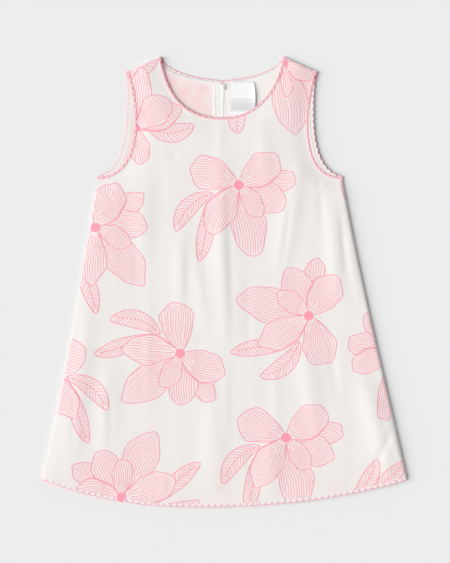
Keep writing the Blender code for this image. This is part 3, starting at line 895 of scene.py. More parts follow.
def nylon(name, tone):
    """Nylon, drawn or moulded: smooth, slightly translucent white with a soft gloss."""
    tones = (tone, [NYLON_GRAIN_TONE * value for value in tone])
    soft = {"Roughness": 0.38, "Subsurface_Weight": 0.1, "Subsurface_Scale": 0.001}
    return grained(name, tones, 900.0, detail=1.0, relief=0.00002, **soft)


def coil_nylon(colours):
    """Filament wound into the zip's coils."""
    return nylon("nylon monofilament, coiled", colours.coil)


def slider_nylon(colours):
    """The slider's moulded body, a little duller white than the coils."""
    return nylon("nylon slider, moulded", colours.slider)


def label_satin(colours):
    """Polyester satin ribbon, woven and heat-cut: white and softly glossy, with a grey band of its own
    that painted shade makes darker towards the right.
    """
    made, tree, shader, place = start_material(
        "woven polyester satin ribbon", Roughness=0.42, Sheen_Weight=0.2, Anisotropic=0.4
    )
    band = add_node(tree, "ShaderNodeAttribute", output="Fac", attribute_name="band")
    cloud = add_node(tree, "ShaderNodeTexNoise", {"Vector": place, "Scale": 260.0, "Detail": 3.0})
    grey = layered(tree, colours.label_band_and_painted_shade, (cloud, colours.label_band_light))
    across = {"Vector": place, "Scale": thread_scale(0.0005)}
    ribs = add_node(tree, "ShaderNodeTexWave", across, "Fac", bands_direction="Y")
    dress_shader(tree, shader, layered(tree, colours.label, (band, grey)), ribs, distance=0.00004)
    return made


def floor_paper(colours):
    """Matt studio paper: an even pale grey without a gloss, faintly clouded."""
    tones = (colours.floor, [min(1.0, PAPER_CLOUD_TONE * value) for value in colours.floor])
    matt = {"Roughness": 0.95, "Specular_IOR_Level": 0.0}
    return grained("matt studio paper", tones, 3.0, detail=1.0, **matt)


# ================================================================ making pieces


def as_mesh(bm, name):
    mesh = bpy.data.meshes.new(name)
    bm.to_mesh(mesh)
    bm.free()
    return mesh


def finish_piece(mesh, name, finish, node=None, wall=None, sharp_degrees=50):
    """A piece at the origin that moves with the dress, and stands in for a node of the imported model. It
    may have a wall, from its outer face inwards."""
    mesh.name = name
    mesh.shade_smooth()
    mesh.set_sharp_from_angle(angle=math.radians(sharp_degrees))
    edge_of_corner = np.empty(len(mesh.loops), np.int32)
    mesh.loops.foreach_get("edge_index", edge_of_corner)
    for edge in np.flatnonzero(np.bincount(edge_of_corner, minlength=len(mesh.edges)) == 1):
        mesh.edges[edge].use_edge_sharp = True
    mesh.materials.clear()
    mesh.materials.append(material(finish))
    piece = bpy.data.objects.new(name, mesh)
    bpy.context.scene.collection.objects.link(piece)
    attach(piece, "root")
    if wall is not None:
        shell = piece.modifiers.new("wall", "SOLIDIFY")
        shell.thickness = wall
        shell.offset = -1
    if node is not None:
        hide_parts(node)
    return piece


def lattice_mesh(columns, rows, place, turned=False):
    """A grid laid through place(column shares, row shares), with its own even UV map."""
    bm = bmesh.new()
    bm.loops.layers.uv.new("UVMap")
    bmesh.ops.create_grid(
        bm, x_segments=len(columns) - 1, y_segments=len(rows) - 1, size=0.5, calc_uvs=True
    )
    spots = np.array([v.co[:2] for v in bm.verts]) + 0.5
    column = np.rint(spots[:, 0] * (len(columns) - 1)).astype(int)
    row = np.rint(spots[:, 1] * (len(rows) - 1)).astype(int)
    for vert, co in zip(bm.verts, place(np.asarray(columns)[column], np.asarray(rows)[row])):
        vert.co = co
    if turned:
        bmesh.ops.reverse_faces(bm, faces=bm.faces[:])
    return as_mesh(bm, "lattice")


def coordinates(mesh):
    found = np.empty(len(mesh.vertices) * 3)
    mesh.vertices.foreach_get("co", found)
    return found.reshape(-1, 3)


def set_attribute(mesh, name, values):
    layer = mesh.attributes.new(name, "FLOAT", "POINT")
    layer.data.foreach_set("value", np.asarray(values, np.float32))


def thread_mesh(lines, radius):
    """Round threads of six sides through the points of each line."""
    curve = bpy.data.curves.new("threads", "CURVE")
    curve.dimensions = "3D"
    curve.bevel_depth = radius
    curve.bevel_resolution = 1
    curve.use_fill_caps = True
    for points in lines:
        spline = curve.splines.new("POLY")
        spline.points.add(len(points) - 1)
        spline.points.foreach_set("co", np.column_stack([points, np.ones(len(points))]).ravel())
    carrier = bpy.data.objects.new("threads", curve)
    mesh = bpy.data.meshes.new_from_object(carrier)
    bpy.data.objects.remove(carrier)
    return mesh


def joined(meshes, name):
    bm = bmesh.new()
    for mesh in meshes:
        bm.from_mesh(mesh)
        bpy.data.meshes.remove(mesh)
    return as_mesh(bm, name)


def distances_along(points):
    """How far along the line through the points each of them is."""
    return np.concatenate([[0], np.cumsum(np.linalg.norm(np.diff(points, axis=0), axis=1))])


def at_stops(stops, distances, values):
    """Rows of values, given at distances along a line, as they are at the stops."""
    return np.column_stack([np.interp(stops, distances, column) for column in values.T])


# ================================================================ cloth


def towards_seam(count, roll_share):
    """Shares from 0 to 1, closer where the cloth rolls over at the end."""
    level = np.linspace(0, 1 - roll_share, count - ROLL_COLUMNS)
    rolled = 1 - roll_share + roll_share * np.sin(np.linspace(0, np.pi / 2, ROLL_COLUMNS + 1))
    return np.concatenate([level, rolled[1:]])


def half_columns(count, reach):
    return towards_seam(count, SIDE_ROLL_SPREAD * reach / UNDERARM_C[0])


def panel_rows(count, reach, length):
    return towards_seam(count, TOP_ROLL_SPREAD * reach / length)


FRONT_LENGTH = FRONT_NECK_Y - HEM_LOWEST_Y
BACK_LENGTH = BACK_NECK_Y - HEM_LOWEST_Y


def front_place(u, v):
    xy = half_panel(front_neck, front_armhole, np.abs(u), v)
    return on_front(np.sign(u) * xy[:, 0], xy[:, 1])


def back_place(u, v):
    xy = half_panel(back_neck, back_armhole, np.abs(u), v)
    return on_back(np.sign(u) * xy[:, 0], xy[:, 1])


def lining_place(u, v):
    """The back's place, from the lining's hem up and drawn in from the seams and the zip."""
    start = LINING_HEM_RISE / BACK_LENGTH
    x, y = half_panel(back_neck, back_armhole, np.abs(u), start + (1 - start) * v).T
    side_run, shoulder_run = HEM_C - UNDERARM_C, TIP_C - NECK_C
    for distance, run in zip(seam_distances(x, y), (side_run, shoulder_run)):
        push = LINING_INSET * np.maximum(0, 1 - distance / LINING_INSET_REACH) / math.hypot(*run)
        x, y = x + run[1] * push, y - run[0] * push
    return on_lining(np.sign(u) * np.maximum(x, LINING_FIRST_COLUMN), y)


def half_outline(neck_curve, arm_curve):
    """The cut outline of half a panel, from the centre of its hem round to the centre of its neck."""
    t = np.linspace(0, 1, CUT_POINTS)
    seam, shoulder = side(arm_curve, t * UNDERARM_SHARE), between(TIP_C, NECK_C, t)
    return np.vstack([hem(t), seam, arm_curve(t), shoulder, neck_curve(t[::-1])])


def laid_outline(neck_curve, arm_curve, laid):
    """The cut outline of a whole panel where it lies, as one loop."""
    half = half_outline(neck_curve, arm_curve)
    loop = np.vstack([half, (half * (-1, 1))[::-1]])
    return np.column_stack(laid(loop[:, 0], loop[:, 1]))


def half_area(neck_curve, arm_curve, above=0.0):
    """Flat area of half a panel, from a height above the hem's lowest point."""
    x, y = half_outline(neck_curve, arm_curve).T
    y = np.maximum(y, HEM_LOWEST_Y + above)
    return abs(np.dot(x, np.roll(y, -1)) - np.dot(y, np.roll(x, -1))) / 2


# ================================================================ the print


def curved_axis(start, direction, length, bend, s):
    """Points along a bent axis and the unit directions square to it, on its left."""
    end = np.array([math.cos(direction), math.sin(direction)]) * length
    left = np.array([-math.sin(direction), math.cos(direction)])
    middle = end / 2 + left * bend * length
    s = s[:, None]
    points = start + 2 * s * (1 - s) * middle + s * s * end
    run = 2 * (1 - 2 * s) * middle + 2 * s * end
    run /= np.linalg.norm(run, axis=1)[:, None]
    return points, np.column_stack([-run[:, 1], run[:, 0]])


def margin_profile(s, end):
    """Share of a petal's or leaf's half width along its length, narrow at its foot."""
    widest, full = end
    return np.sin(np.pi * s**widest) ** full


def petal(row, draw):
    """A petal's closed outline, and its lines, each with its kind."""
    direction, length, half_width, bend, end, folded = row
    s = np.linspace(0, 1, PETAL_STEPS)
    axis, left = curved_axis(np.zeros(2), math.radians(direction), length, bend, s)
    margin = half_width * margin_profile(s, PETAL_ENDS[end])
    ahead = np.column_stack([left[:, 1], -left[:, 0]])
    waves, turn = draw.uniform(*END_WAVES), draw.random()
    sides = []
    for hand in (1, -1):
        ruffle = np.sin(2 * np.pi * (draw.uniform(*RUFFLE_WAVES) * s + draw.random()))
        across = hand * margin * (1 + PETAL_RUFFLE * ruffle * s)
        wave = np.sin(2 * np.pi * (waves * across / half_width + turn))
        wave = wave * END_WAVE * length * s**END_WAVE_POWER
        sides.append(axis + left * across[:, None] + ahead * wave[:, None])
    outline = np.vstack([sides[0], sides[1][::-1]])
    lines = [(outline, OUTLINE)]
    if folded:
        lines.append((sides[1][FOLDED_PART], FOLD))
    peak = np.argmax(margin)
    spread = np.where(np.arange(PETAL_STEPS) < peak, margin, margin[peak])
    count = round(2 * half_width / VEIN_SPACING)
    sway = VEIN_SWAY * np.sin(2 * np.pi * (draw.uniform(*SWAY_WAVES) * s + draw.random()))
    for k in range(count):
        share = -1 + 2 * (k + 1) / (count + 1) + draw.uniform(-VEIN_SCATTER, VEIN_SCATTER)
        offset = (share + sway * (1 - share * share)) * spread
        start = (SHORT_VEIN_START if k % 2 else VEIN_START) * draw.uniform(*VEIN_START_SCATTER)
        drawn = (np.abs(offset) < VEIN_LIMIT * margin) & (s > start)
        vein = axis + left * offset[:, None]
        lines += [(run, VEIN) for run in runs_of(vein, drawn & inside(outline, vein))]
    return outline, lines


def leaf(row, draw):
    """A leaf's closed outline, and its lines: margin, midrib and slanting ribs."""
    x, y, direction, length, half_width, bend = row
    s = np.linspace(0, 1, PETAL_STEPS)
    axis, left = curved_axis(np.array([x, y]), math.radians(direction), length, bend, s)
    margin = half_width * margin_profile(s, LEAF_END)
    outline = np.vstack([axis + left * margin[:, None], (axis - left * margin[:, None])[::-1]])
    lines = [(outline, OUTLINE), (axis[: int(MIDRIB_END * PETAL_STEPS)], VEIN)]
    t = np.linspace(0, 1, RIB_POINTS)
    for foot in np.arange(*RIB_RANGE, RIB_SPACING / length):
        for hand in (1, -1):
            forward = foot + t * (RIB_FORWARD + RIB_SCATTER * draw.random())
            across = RIB_REACH * hand * t * np.interp(forward, s, margin)
            rib = at_stops(forward, s, axis) + at_stops(forward, s, left) * across[:, None]
            lines += [(run, VEIN) for run in runs_of(rib, forward < RIB_LIMIT)]
    return outline, lines


def runs_of(points, kept):
    """The unbroken runs of the points that are kept."""
    found, start = [], None
    for k in range(len(points) + 1):
        if k < len(points) and kept[k]:
            start = k if start is None else start
        elif start is not None:
            if k - start > 1:
                found.append(points[start:k])
            start = None
    return found


def inside(outline, points):
    """Which of the points are inside a closed outline."""
    low, high = outline.min(axis=0), outline.max(axis=0)
    close = np.all((points > low) & (points < high), axis=1)
    result = np.zeros(len(points), bool)
    if close.any():
        x, y = points[close].T
        a, b = outline, np.roll(outline, -1, axis=0)
        crosses = (a[:, 1, None] > y) != (b[:, 1, None] > y)
        slope = (b[:, 0] - a[:, 0]) / (b[:, 1] - a[:, 1] + 1e-15)
        at = a[:, 0, None] + slope[:, None] * (y - a[:, 1, None])
        result[close] = (crosses & (x < at)).sum(axis=0) % 2 == 1
    return result


def covered(points, outlines):
    """Which of the points are inside any of the outlines."""
    hidden = np.zeros(len(points), bool)
    for outline in outlines:
        hidden |= inside(outline, points)
    return hidden


def shown_lines(lines, outlines):
    """The parts of the lines that no outline covers."""
    return [(run, kind) for points, kind in lines for run in runs_of(points, ~covered(points, outlines))]


def even_steps(points):
    """The same line in even steps."""
    distances = distances_along(points)
    count = max(3, round(distances[-1] / LINE_STEP) + 1)
    return at_stops(np.linspace(0, distances[-1], count), distances, points)


def bloom(petals, leaves, draw):
    """The outlines and visible lines of one bloom about its centre. A part that lies in front hides what
    is behind it."""
    outlines, lines = [], []
    for drawing, rows in ((petal, petals), (leaf, leaves)):
        for row in rows:
            outline, drawn = drawing(row, draw)
            lines += shown_lines([(even_steps(points), kind) for points, kind in drawn], outlines)
            outlines.append(outline)
    spot = np.linspace(-1, 1, CENTRE_POINTS)[:, None] * (CENTRE_RADIUS, 0)
    lines.append((spot, SPOT))
    return outlines, lines


def turned(points, x, y, turn, mirrored):
    if mirrored:
        points = points * (-1, 1)
    c, s = math.cos(math.radians(turn)), math.sin(math.radians(turn))
    return points @ np.array([[c, s], [-s, c]]) + (x, y)


def print_lines(blooms, part_blooms=(), loose_leaves=()):
    """All outlines and lines of a print, where the cloth lies. What is drawn first hides what follows."""
    draw = random.Random(PRINT_SEED)
    outlines, lines = [], []
    placed = [(row, BLOOM_PETALS, BLOOM_LEAVES[: row[-1]]) for row in blooms]
    placed += [(row, petals, ()) for row, petals in part_blooms]
    for row, petals, leaves in placed:
        found, drawn = bloom(petals, leaves, draw)
        lines += shown_lines([(turned(points, *row[:-1]), kind) for points, kind in drawn], outlines)
        outlines += [turned(points, *row[:-1]) for points in found]
    for row in loose_leaves:
        outline, drawn = leaf(row, draw)
        lines += shown_lines([(even_steps(points), kind) for points, kind in drawn], outlines)
        outlines.append(outline)
    return outlines, lines


def front_drawing():
    return print_lines(FRONT_BLOOMS, PART_BLOOMS, FRONT_LEAVES)


def back_drawing():
    return print_lines(BACK_BLOOMS)


def line_widths(points, kind, sizes):
    """Half widths along a line: a vein thins out to its end, a fold to both, a spot is round."""
    t = np.linspace(0, 1, len(points))
    if kind == SPOT:
        return CENTRE_RADIUS * np.sqrt(np.maximum(0, 1 - (2 * t - 1) ** 2)) * CENTRE_FULLNESS
    if kind == VEIN:
        return sizes.vein_width / 2 * np.minimum(1, VEIN_END + VEIN_TAPER * (1 - t))
    if kind == FOLD:
        return sizes.fold_width / 2 * np.sqrt(np.sin(np.pi * t))
    return np.full(len(points), sizes.outline_width / 2)


def ribbons(name, lines, outline, surface, outwards, sizes):
    """Flat ink lines that follow the cloth, cut off at its edge."""
    bm = bmesh.new()
    tag = bm.verts.layers.int.new("step")
    across = []
    for points, kind in lines:
        widened = np.column_stack([points, line_widths(points, kind, sizes)])
        for run in runs_of(widened, inside(outline, points)):
            centre, side_step = on_cloth(run, surface, outwards, INK_HEIGHTS[kind])
            row = []
            for place, step in zip(centre - side_step, side_step):
                vert = bm.verts.new(place)
                vert[tag] = len(across)
                across.append(2 * step)
                row.append(vert)
            for a, b in zip(row, row[1:]):
                bm.edges.new((a, b))
    for item in bmesh.ops.extrude_edge_only(bm, edges=bm.edges[:])["geom"]:
        if isinstance(item, bmesh.types.BMVert):
            item.co += Vector(across[item[tag]])
    return as_mesh(bm, name)


def unit(vectors):
    return vectors / np.linalg.norm(vectors, axis=1)[:, None]


def on_cloth(run, surface, outwards, height):
    """The middle of a line on the cloth's outer face, and its half width as a vector square to it."""
    x, y = pattern_of(run[:, 0], run[:, 1])
    spot = surface(x, y)
    normal = outwards * unit(np.cross(surface(x + PROBE, y) - spot, surface(x, y + PROBE) - spot))
    across = unit(np.cross(normal, unit(np.gradient(spot, axis=0))))
    return spot + normal * height, across * run[:, 2:3] * outwards


# ================================================================ edging


def scallops(steps, fullness):
    """A row of scallops, 0 at each notch and 1 between them."""
    return np.abs(np.sin(np.pi * np.arange(steps) / STEPS_PER_SCALLOP)) ** fullness


def edge_run(curve, surface, out_side, share=1.0):
    """Even steps along one cut edge: the places on the cloth's outer face, the level directions out of the
    cloth, and the width of the scallops there, whose depth is a share of the full one. The cloth's outside
    is on the right (1) or left (-1)."""
    along = surface(*curve.T)
    distances = distances_along(along)
    count = round(distances[-1] / SCALLOP_PITCH)
    stops = np.linspace(0, distances[-1], count * STEPS_PER_SCALLOP + 1)
    places = at_stops(stops, distances, along)
    run = np.gradient(places, axis=0)
    out = unit(np.column_stack([run[:, 1], -run[:, 0], np.zeros(len(run))]) * out_side)
    depth = (EDGING_WIDTH - EDGING_VALLEY) * share
    return places, out, EDGING_VALLEY + depth * scallops(len(stops), SCALLOP_FULLNESS)


def border_mesh(run, under):
    """The strip of cloth between the panel and the scalloped thread."""
    places, out, width = run
    tuck = -BORDER_TUCK if under else BORDER_TUCK

    def place(step, share):
        step = np.rint(step).astype(int)
        reach = (BORDER_LAP + SEAM_GAP + width[step]) * share - BORDER_LAP
        return places[step] + out[step] * reach[:, None] - (0, 0, tuck)

    out_on_right = np.cross(places[1] - places[0], out[0])[2] < 0
    rows = np.linspace(0, 1, BORDER_ROWS)
    return lattice_mesh(np.arange(len(places)), rows, place, turned=out_on_right != under)


def twisted(path, across, radius):
    """Two plies wound round a path."""
    distances = distances_along(path)
    steps = max(4, round(distances[-1] / PLY_PITCH * STEPS_PER_TWIST))
    stops = np.linspace(0, distances[-1], steps + 1)
    middle, side_on = (at_stops(stops, distances, values) for values in (path, across))
    turn = 2 * np.pi * np.arange(steps + 1) / STEPS_PER_TWIST
    plies = []
    for start in (0, np.pi):
        swing = np.cos(turn + start)[:, None] * side_on
        swing[:, 2] += np.sin(turn + start)
        plies.append(middle + swing * radius * PLY_SPREAD)
    return plies


def edging_lines(run, under, inner, radius):
    """The scalloped thread at the cloth's edge, a small stitch over the edge at each notch and, where
    there is one, an inner thread that bows onto the cloth between the notches."""
    places, out, width = run
    face = -1 if under else 1
    rim = places + out * (SEAM_GAP + width)[:, None]
    rim[:, 2] = np.maximum(rim[:, 2] - face * EDGING_DROP, LOWEST_THREAD)
    lines = twisted(rim, out, radius)
    if inner is not None:
        bow = scallops(len(places), INNER_FULLNESS)
        reach = (SEAM_GAP + EDGING_VALLEY) * (1 - bow) - inner * bow
        path = places + out * reach[:, None] + (0, 0, face * radius * INNER_HEIGHT)
        lines += twisted(path, out, radius * INNER_SHARE)
    t = np.linspace(0, 1, STITCH_POINTS)
    arch = face * radius * (NOTCH_STITCH_HEIGHT + NOTCH_STITCH_ARCH * np.sin(np.pi * t))
    for k in range(0, len(places), STEPS_PER_SCALLOP):
        reach = (SEAM_GAP + width[k]) * (1 - t) - STITCH_REACH * t
        stitch = places[k] + out[k] * reach[:, None]
        stitch[:, 2] = np.maximum(stitch[:, 2] + arch, radius)
        lines.append(stitch)
    return lines


def whole(curve_of):
    """A centred edge from the left end to the right."""
    half = curve_of(np.linspace(0, 1, EDGE_POINTS))
    return np.vstack([(half * (-1, 1))[::-1], half[1:]])


def one_side(curve_of, sign):
    return curve_of(np.linspace(0, 1, EDGE_POINTS)) * (sign, 1)


def edging_runs():
    """The runs of each edging, as (run, whether on the back, inner thread's reach onto the cloth)."""
    front_run = edge_run(whole(front_neck), on_front, -1, FRONT_SCALLOP_SHARE)
    found = {"neck_edging": [(front_run, False, NECK_INNER_REACH)]}
    for _, sign in SIDES:
        back_run = edge_run(one_side(back_neck, sign), on_back, -sign, BACK_NECK_SCALLOP_SHARE)
        found["neck_edging"].append((back_run, True, None))
    for side_name, sign in SIDES:
        front_run = edge_run(one_side(front_armhole, sign), on_front, sign, FRONT_SCALLOP_SHARE)
        back_run = edge_run(one_side(back_armhole, sign), on_back, sign)
        runs = [(front_run, False, ARM_INNER_REACH), (back_run, True, None)]
        found[f"armhole_edging_{side_name}"] = runs
    found["hem_edging"] = [
        (edge_run(whole(hem), surface, 1), surface is on_back, None) for surface in (on_front, on_back)
    ]
    return found


def border_name(node):
    """The name of the cloth border beside an edging's node."""
    return node.replace("edging", "border")


def edging_painted_shade(spots):
    """How much painted shade, a deeper pink, the edging gets: most at the right shoulder's tip and the
    left neck point.
    """
    away = [np.hypot(*(spots - place).T) for place in PAINTED_SHADE_SPOTS]
    return near(np.min(away, axis=0), PAINTED_SHADE_REACH)


# ================================================================ zip, label and stitches


def laid_back_at(x, y, z):
    """Places over the back, given pattern x and y and a height."""
    return np.stack([*lay_back(x, y), z + np.zeros_like(x)], axis=-1)


def tape_place(sign):
    near_edge, far_edge = ZIP_TAPE

    def place(u, v):
        x = near_edge + (far_edge - near_edge) * u
        cords = TAPE_CORD_HEIGHT * np.cos(2 * np.pi * x / TAPE_CORD) - TAPE_DIP * (x < TAPE_DIP_END)
        return laid_back_at(sign * x, ZIP_FOOT + ZIP_LENGTH * v, TAPE_TOP + cords)

    return place


def coil_line(sign):
    """One side's filament, wound down the whole zip."""
    steps = round(ZIP_LENGTH / COIL_PITCH * STEPS_PER_COIL)
    turn = 2 * np.pi * np.arange(steps + 1) / STEPS_PER_COIL + (0 if sign > 0 else np.pi)
    x = sign * (COIL_CENTRE_X + COIL_HALF_WIDTH * np.cos(turn))
    y = np.linspace(ZIP_FOOT, ZIP_TOP, steps + 1)
    return laid_back_at(x, y, COIL_HEIGHT + COIL_HALF_HEIGHT * np.sin(turn))


def coil_cord(x):
    """A filler cord inside the coils, along the whole zip."""
    y = np.linspace(ZIP_FOOT, ZIP_TOP, CORD_POINTS)
    return laid_back_at(np.full(CORD_POINTS, x), y, COIL_HEIGHT)


def slider_mesh():
    """A plate that narrows downwards, with a raised bridge along its middle."""
    bm = bmesh.new()
    width, length, thickness = SLIDER_SIZE
    for width_share, length_share, rise in SLIDER_PARTS:
        made = bmesh.ops.create_cube(bm, size=1.0)["verts"]
        size = (width * width_share, length * length_share, thickness)
        bmesh.ops.scale(bm, vec=size, verts=made)
        for vert in made:
            if vert.co.y < 0:
                vert.co.x *= SLIDER_FOOT
        bmesh.ops.translate(bm, vec=(0, 0, thickness * rise), verts=made)
        edges = list({edge for vert in made for edge in vert.link_edges})
        corner = {"offset": thickness * SLIDER_CORNER, "segments": 3, "profile": 0.5}
        bmesh.ops.bevel(bm, geom=edges, affect="EDGES", material=-1, **corner)
    x, y = lay_back(0.0, ZIP_TOP - length / 2)
    bmesh.ops.translate(bm, vec=(x, y, SLIDER_HEIGHT), verts=bm.verts[:])
    return as_mesh(bm, "slider")


def label_place(u, v):
    """A ribbon loop: down its lower layer, round the fold at its foot and up its upper layer. The upper
    layer's right edge curls up from the lining."""
    low, high = LABEL_SPAN
    upper = v > 0.5
    along = 1 - np.abs(2 * v - 1)
    into_fold = np.maximum(0, (along - 1 + LABEL_FOLD) / LABEL_FOLD)
    apart = np.sqrt(np.maximum(0, 1 - into_fold**2))
    z = LABEL_LOW + LABEL_LAYERS_APART * (0.5 + np.where(upper, 0.5, -0.5) * apart)
    z = z + LABEL_BULGE * np.sin(np.pi * along) * (LABEL_BULGE_LEFT + (1 - LABEL_BULGE_LEFT) * u)
    edge = np.maximum(0, (u - 1 + LABEL_CURL_SHARE) / LABEL_CURL_SHARE)
    lift = np.sin(np.pi * np.minimum(1, along * LABEL_CURL_TURN)) ** LABEL_CURL_FULLNESS
    z = z + LABEL_CURL * edge**2 * np.maximum(0, lift) * np.where(upper, 1.0, LOWER_CURL)
    bowed = np.sin(np.pi / 2 * np.minimum(1, along / LABEL_BOW_FULL))
    x = low + (high - low) * u + (LABEL_WIDER + LABEL_BOW * bowed) * u**3
    return laid_back_at(x, LABEL_TOP - LABEL_LENGTH * along, z)


def label_band_and_painted_shade(spots):
    """How grey the ribbon is: one grey band in two steps, blurred at their edges, with painted shade that
    makes it darker towards its curled right edge.
    """
    down = laid_back_at(0.0, LABEL_TOP, 0.0)[1] - spots[:, 1]
    across = (spots[:, 0] - spots[:, 0].min()) / np.ptp(spots[:, 0])
    band = np.zeros(len(spots))
    for start, end, strength in LABEL_BANDS:
        begun, over = (np.tanh((down - stop) / LABEL_BAND_EDGE) for stop in (start, end))
        band += strength * (begun - over) / 2
    return band * (LABEL_BAND_LEFT + (1 - LABEL_BAND_LEFT) * across)


def stitch_row(start, end, radius):
    """A row of stitches from one place to another, each dipping in and out of the cloth."""
    count = max(1, round(np.linalg.norm(end - start) / (STITCH + STITCH_GAP)))
    t = np.linspace(0, 1, SEWN_POINTS)
    lines = []
    for k in range(count):
        share = (k + t * STITCH / (STITCH + STITCH_GAP)) / count
        points = start + (end - start) * share[:, None]
        points[:, 2] += radius * (np.sin(np.pi * t) - SEWN_DEPTH)
        lines.append(points)
    return lines


# ================================================================ what shows through


def see_through(spots):
    """Where the lining's hem and the back's print show faintly through the front, by laid place."""
    x, y = spots.T
    below = 1 / (1 + np.exp((y - HEM_LOWEST_Y - LINING_HEM_RISE) / LINING_HEM_BLUR))
    blots = sum(near(x - at_x, wide) * near(y - at_y, high) for at_x, at_y, wide, high in BLOTS)
    return np.clip(LINING_HEM_TINT * below + BLOT_TINT * blots, 0, 1)


def print_under_lining(spots):
    """How strongly the back's print shows through the lining: on the left half, up to the neckline, and
    faintly at both armholes. It comes and goes in soft patches."""
    x, y = spots.T
    below_neck = np.interp(np.abs(x), *BACK_NECKLINE.T) - y
    on_left = fade(-x, *TINT_FROM_ZIP) * fade(x, *TINT_FROM_SIDE) * fade(below_neck, *TINT_FROM_NECK)
    first, second = (across * x + up * y for across, up in PATCH_WAVES)
    patches = 1 - PATCH_SHARE + PATCH_SHARE * np.sin(first) * np.cos(second)
    return (on_left + ARM_TINT * (np.abs(x) > ARM_TINT_START)) * patches


def lit_edge_painted_shade(spots, roll):
    """How far round the left edge laid points are, from 0 on the flat to 1 at the side seam: the share of
    painted shade that dims this lit edge.
    """
    x, y = pattern_of(*spots.T)
    return (1 - np.minimum(seam_distances(np.abs(x), y)[0] / roll, 1)) * (x < 0)


# ================================================================ sizes and colours


def colour(name, description, hex_value):
    return FloatVectorProperty(
        name=name,
        description=description,
        size=3,
        min=0,
        max=1,
        subtype="COLOR",
        default=linear(hex_value),
    )


def length(name, description, default):
    return FloatProperty(
        name=name,
        description=description,
        default=default,
        min=0,
        precision=5,
        subtype="DISTANCE",
        unit="LENGTH",
    )


class DressSizes(bpy.types.PropertyGroup):
    """Sizes that a user would change."""

    cloth_thickness: length("Cloth", "Thickness of the front and back", 0.0005)
    lining_thickness: length("Lining", "Thickness of the lining", 0.0003)
    thread_pitch: length("Thread pitch", "Distance between the cloth's threads", 0.0006)
    outline_width: length("Outline", "Width of a petal's printed outline", 0.0009)
    fold_width: length("Fold line", "Width of the line where a petal folds over", 0.0017)
    vein_width: length("Vein", "Width of a printed vein", 0.00060)
    edging_strand: length("Edging strand", "Radius of one ply of the edging's thread", 0.00029)
    coil_wire: length("Coil wire", "Radius of the zip coil's filament", 0.00036)
    stitch_radius: length("Stitch", "Radius of a sewing stitch", 0.00016)


class DressColours(bpy.types.PropertyGroup):
    """Colours that a user would change."""

    cloth: colour("Cloth", "Off-white cotton", "#F1EDE9")
    cloth_shade: colour("Cloth shade", "Its slightly greyer threads", "#EEEAE6")
    # Painted shade on the left edge, which faces the key light, to dim its bright rim.
    cloth_edge_painted_shade: colour("Cloth edge", "Left edge, where the cloth lets some light through", "#C8C5C1")
    wash: colour("Wash", "Cloth between the lines of a flower", "#F6E6E5")
    show_through: colour("Show-through", "Back print or lining seen through the front", "#F3DFDC")
    ink: colour("Ink", "Print", "#FF97AD")
    ink_light: colour("Light ink", "Print where the cloth took less of it", "#FFA8B9")
    thread: colour("Thread", "Edging thread", "#FFB2C3")
    thread_shade: colour("Thread shade", "The darker fibres of the edging thread", "#FC9FB4")
    # Painted shade on the edging at the right shoulder's tip and the left neck point.
    thread_painted_shade: colour("Deep thread", "The edging where it is turned up on its edge", "#E0607F")
    lining: colour("Lining", "Cream voile", "#F3F0EC")
    lining_pink: colour("Lining over print", "The back's print seen through the lining", "#F8D7D8")
    tape: colour("Tape", "Zip tape", "#FAF9F6")
    # Painted shade in the grooves between the tape's cords.
    tape_painted_shade: colour("Tape shade", "Between the tape's cords", "#EFEBE7")
    coil: colour("Coil", "Zip coil", "#FCFCFA")
    slider: colour("Slider", "Zip slider", "#F6F4F0")
    label: colour("Label", "White satin", "#FAFAFA")
    # A grey band of the ribbon's own, made darker towards the right by painted shade.
    label_band_and_painted_shade: colour("Label band", "Plain grey band", "#CCCCD0")
    label_band_light: colour("Light label band", "The band's lighter threads", "#E0E0E2")
    floor: colour("Floor", "Studio paper", "#ECECEC")


FINISHES = {
    "cloth": cotton_voile,
    "lining": lining_voile,
    "ink": printed_ink,
    "edging": edging_thread,
    "sewing": sewing_thread,
    "tape": zip_tape_weave,
    "coil": coil_nylon,
    "slider": slider_nylon,
    "label": label_satin,
    "floor": floor_paper,
}
MATERIALS = {}


def material(name):
    """One of the dress's materials, made when it is first asked for."""
    if name not in MATERIALS:
        MATERIALS[name] = FINISHES[name](bpy.context.scene.dress_colours)
    return MATERIALS[name]


# ================================================================ operators


class DressOperator:
    """Runs its own build and raises an error if that made nothing."""

    bl_options = {"REGISTER", "UNDO"}

    def execute(self, context):
        if not self.build(context.scene.dress_sizes):
            raise RuntimeError(f"{self.bl_label} made nothing")
        return {"FINISHED"}


class DRESS_OT_front_cloth(DressOperator, bpy.types.Operator):
    """Front panel: a fine shell of cotton voile with soft creases"""

    bl_idname = "dress.front_cloth"
    bl_label = "Front cloth"

    def build(self, sizes):
        left, right = (half_columns(FRONT_COLUMNS, roll) for roll in (LEFT_ROLL, RIGHT_ROLL))
        columns = np.concatenate([-left[:0:-1], right])
        rows = panel_rows(FRONT_ROWS, (LEFT_ROLL + RIGHT_ROLL) / 2, FRONT_LENGTH)
        mesh = lattice_mesh(columns, rows, front_place)
        spots = before_shift(coordinates(mesh)[:, :2])
        set_attribute(mesh, "wash", covered(spots, front_drawing()[0]))
        set_attribute(mesh, "show_through", see_through(spots))
        set_attribute(mesh, "lit_edge_painted_shade", lit_edge_painted_shade(spots, LEFT_ROLL))
        return finish_piece(mesh, "front_cloth", "cloth", "front_panel", sizes.cloth_thickness)


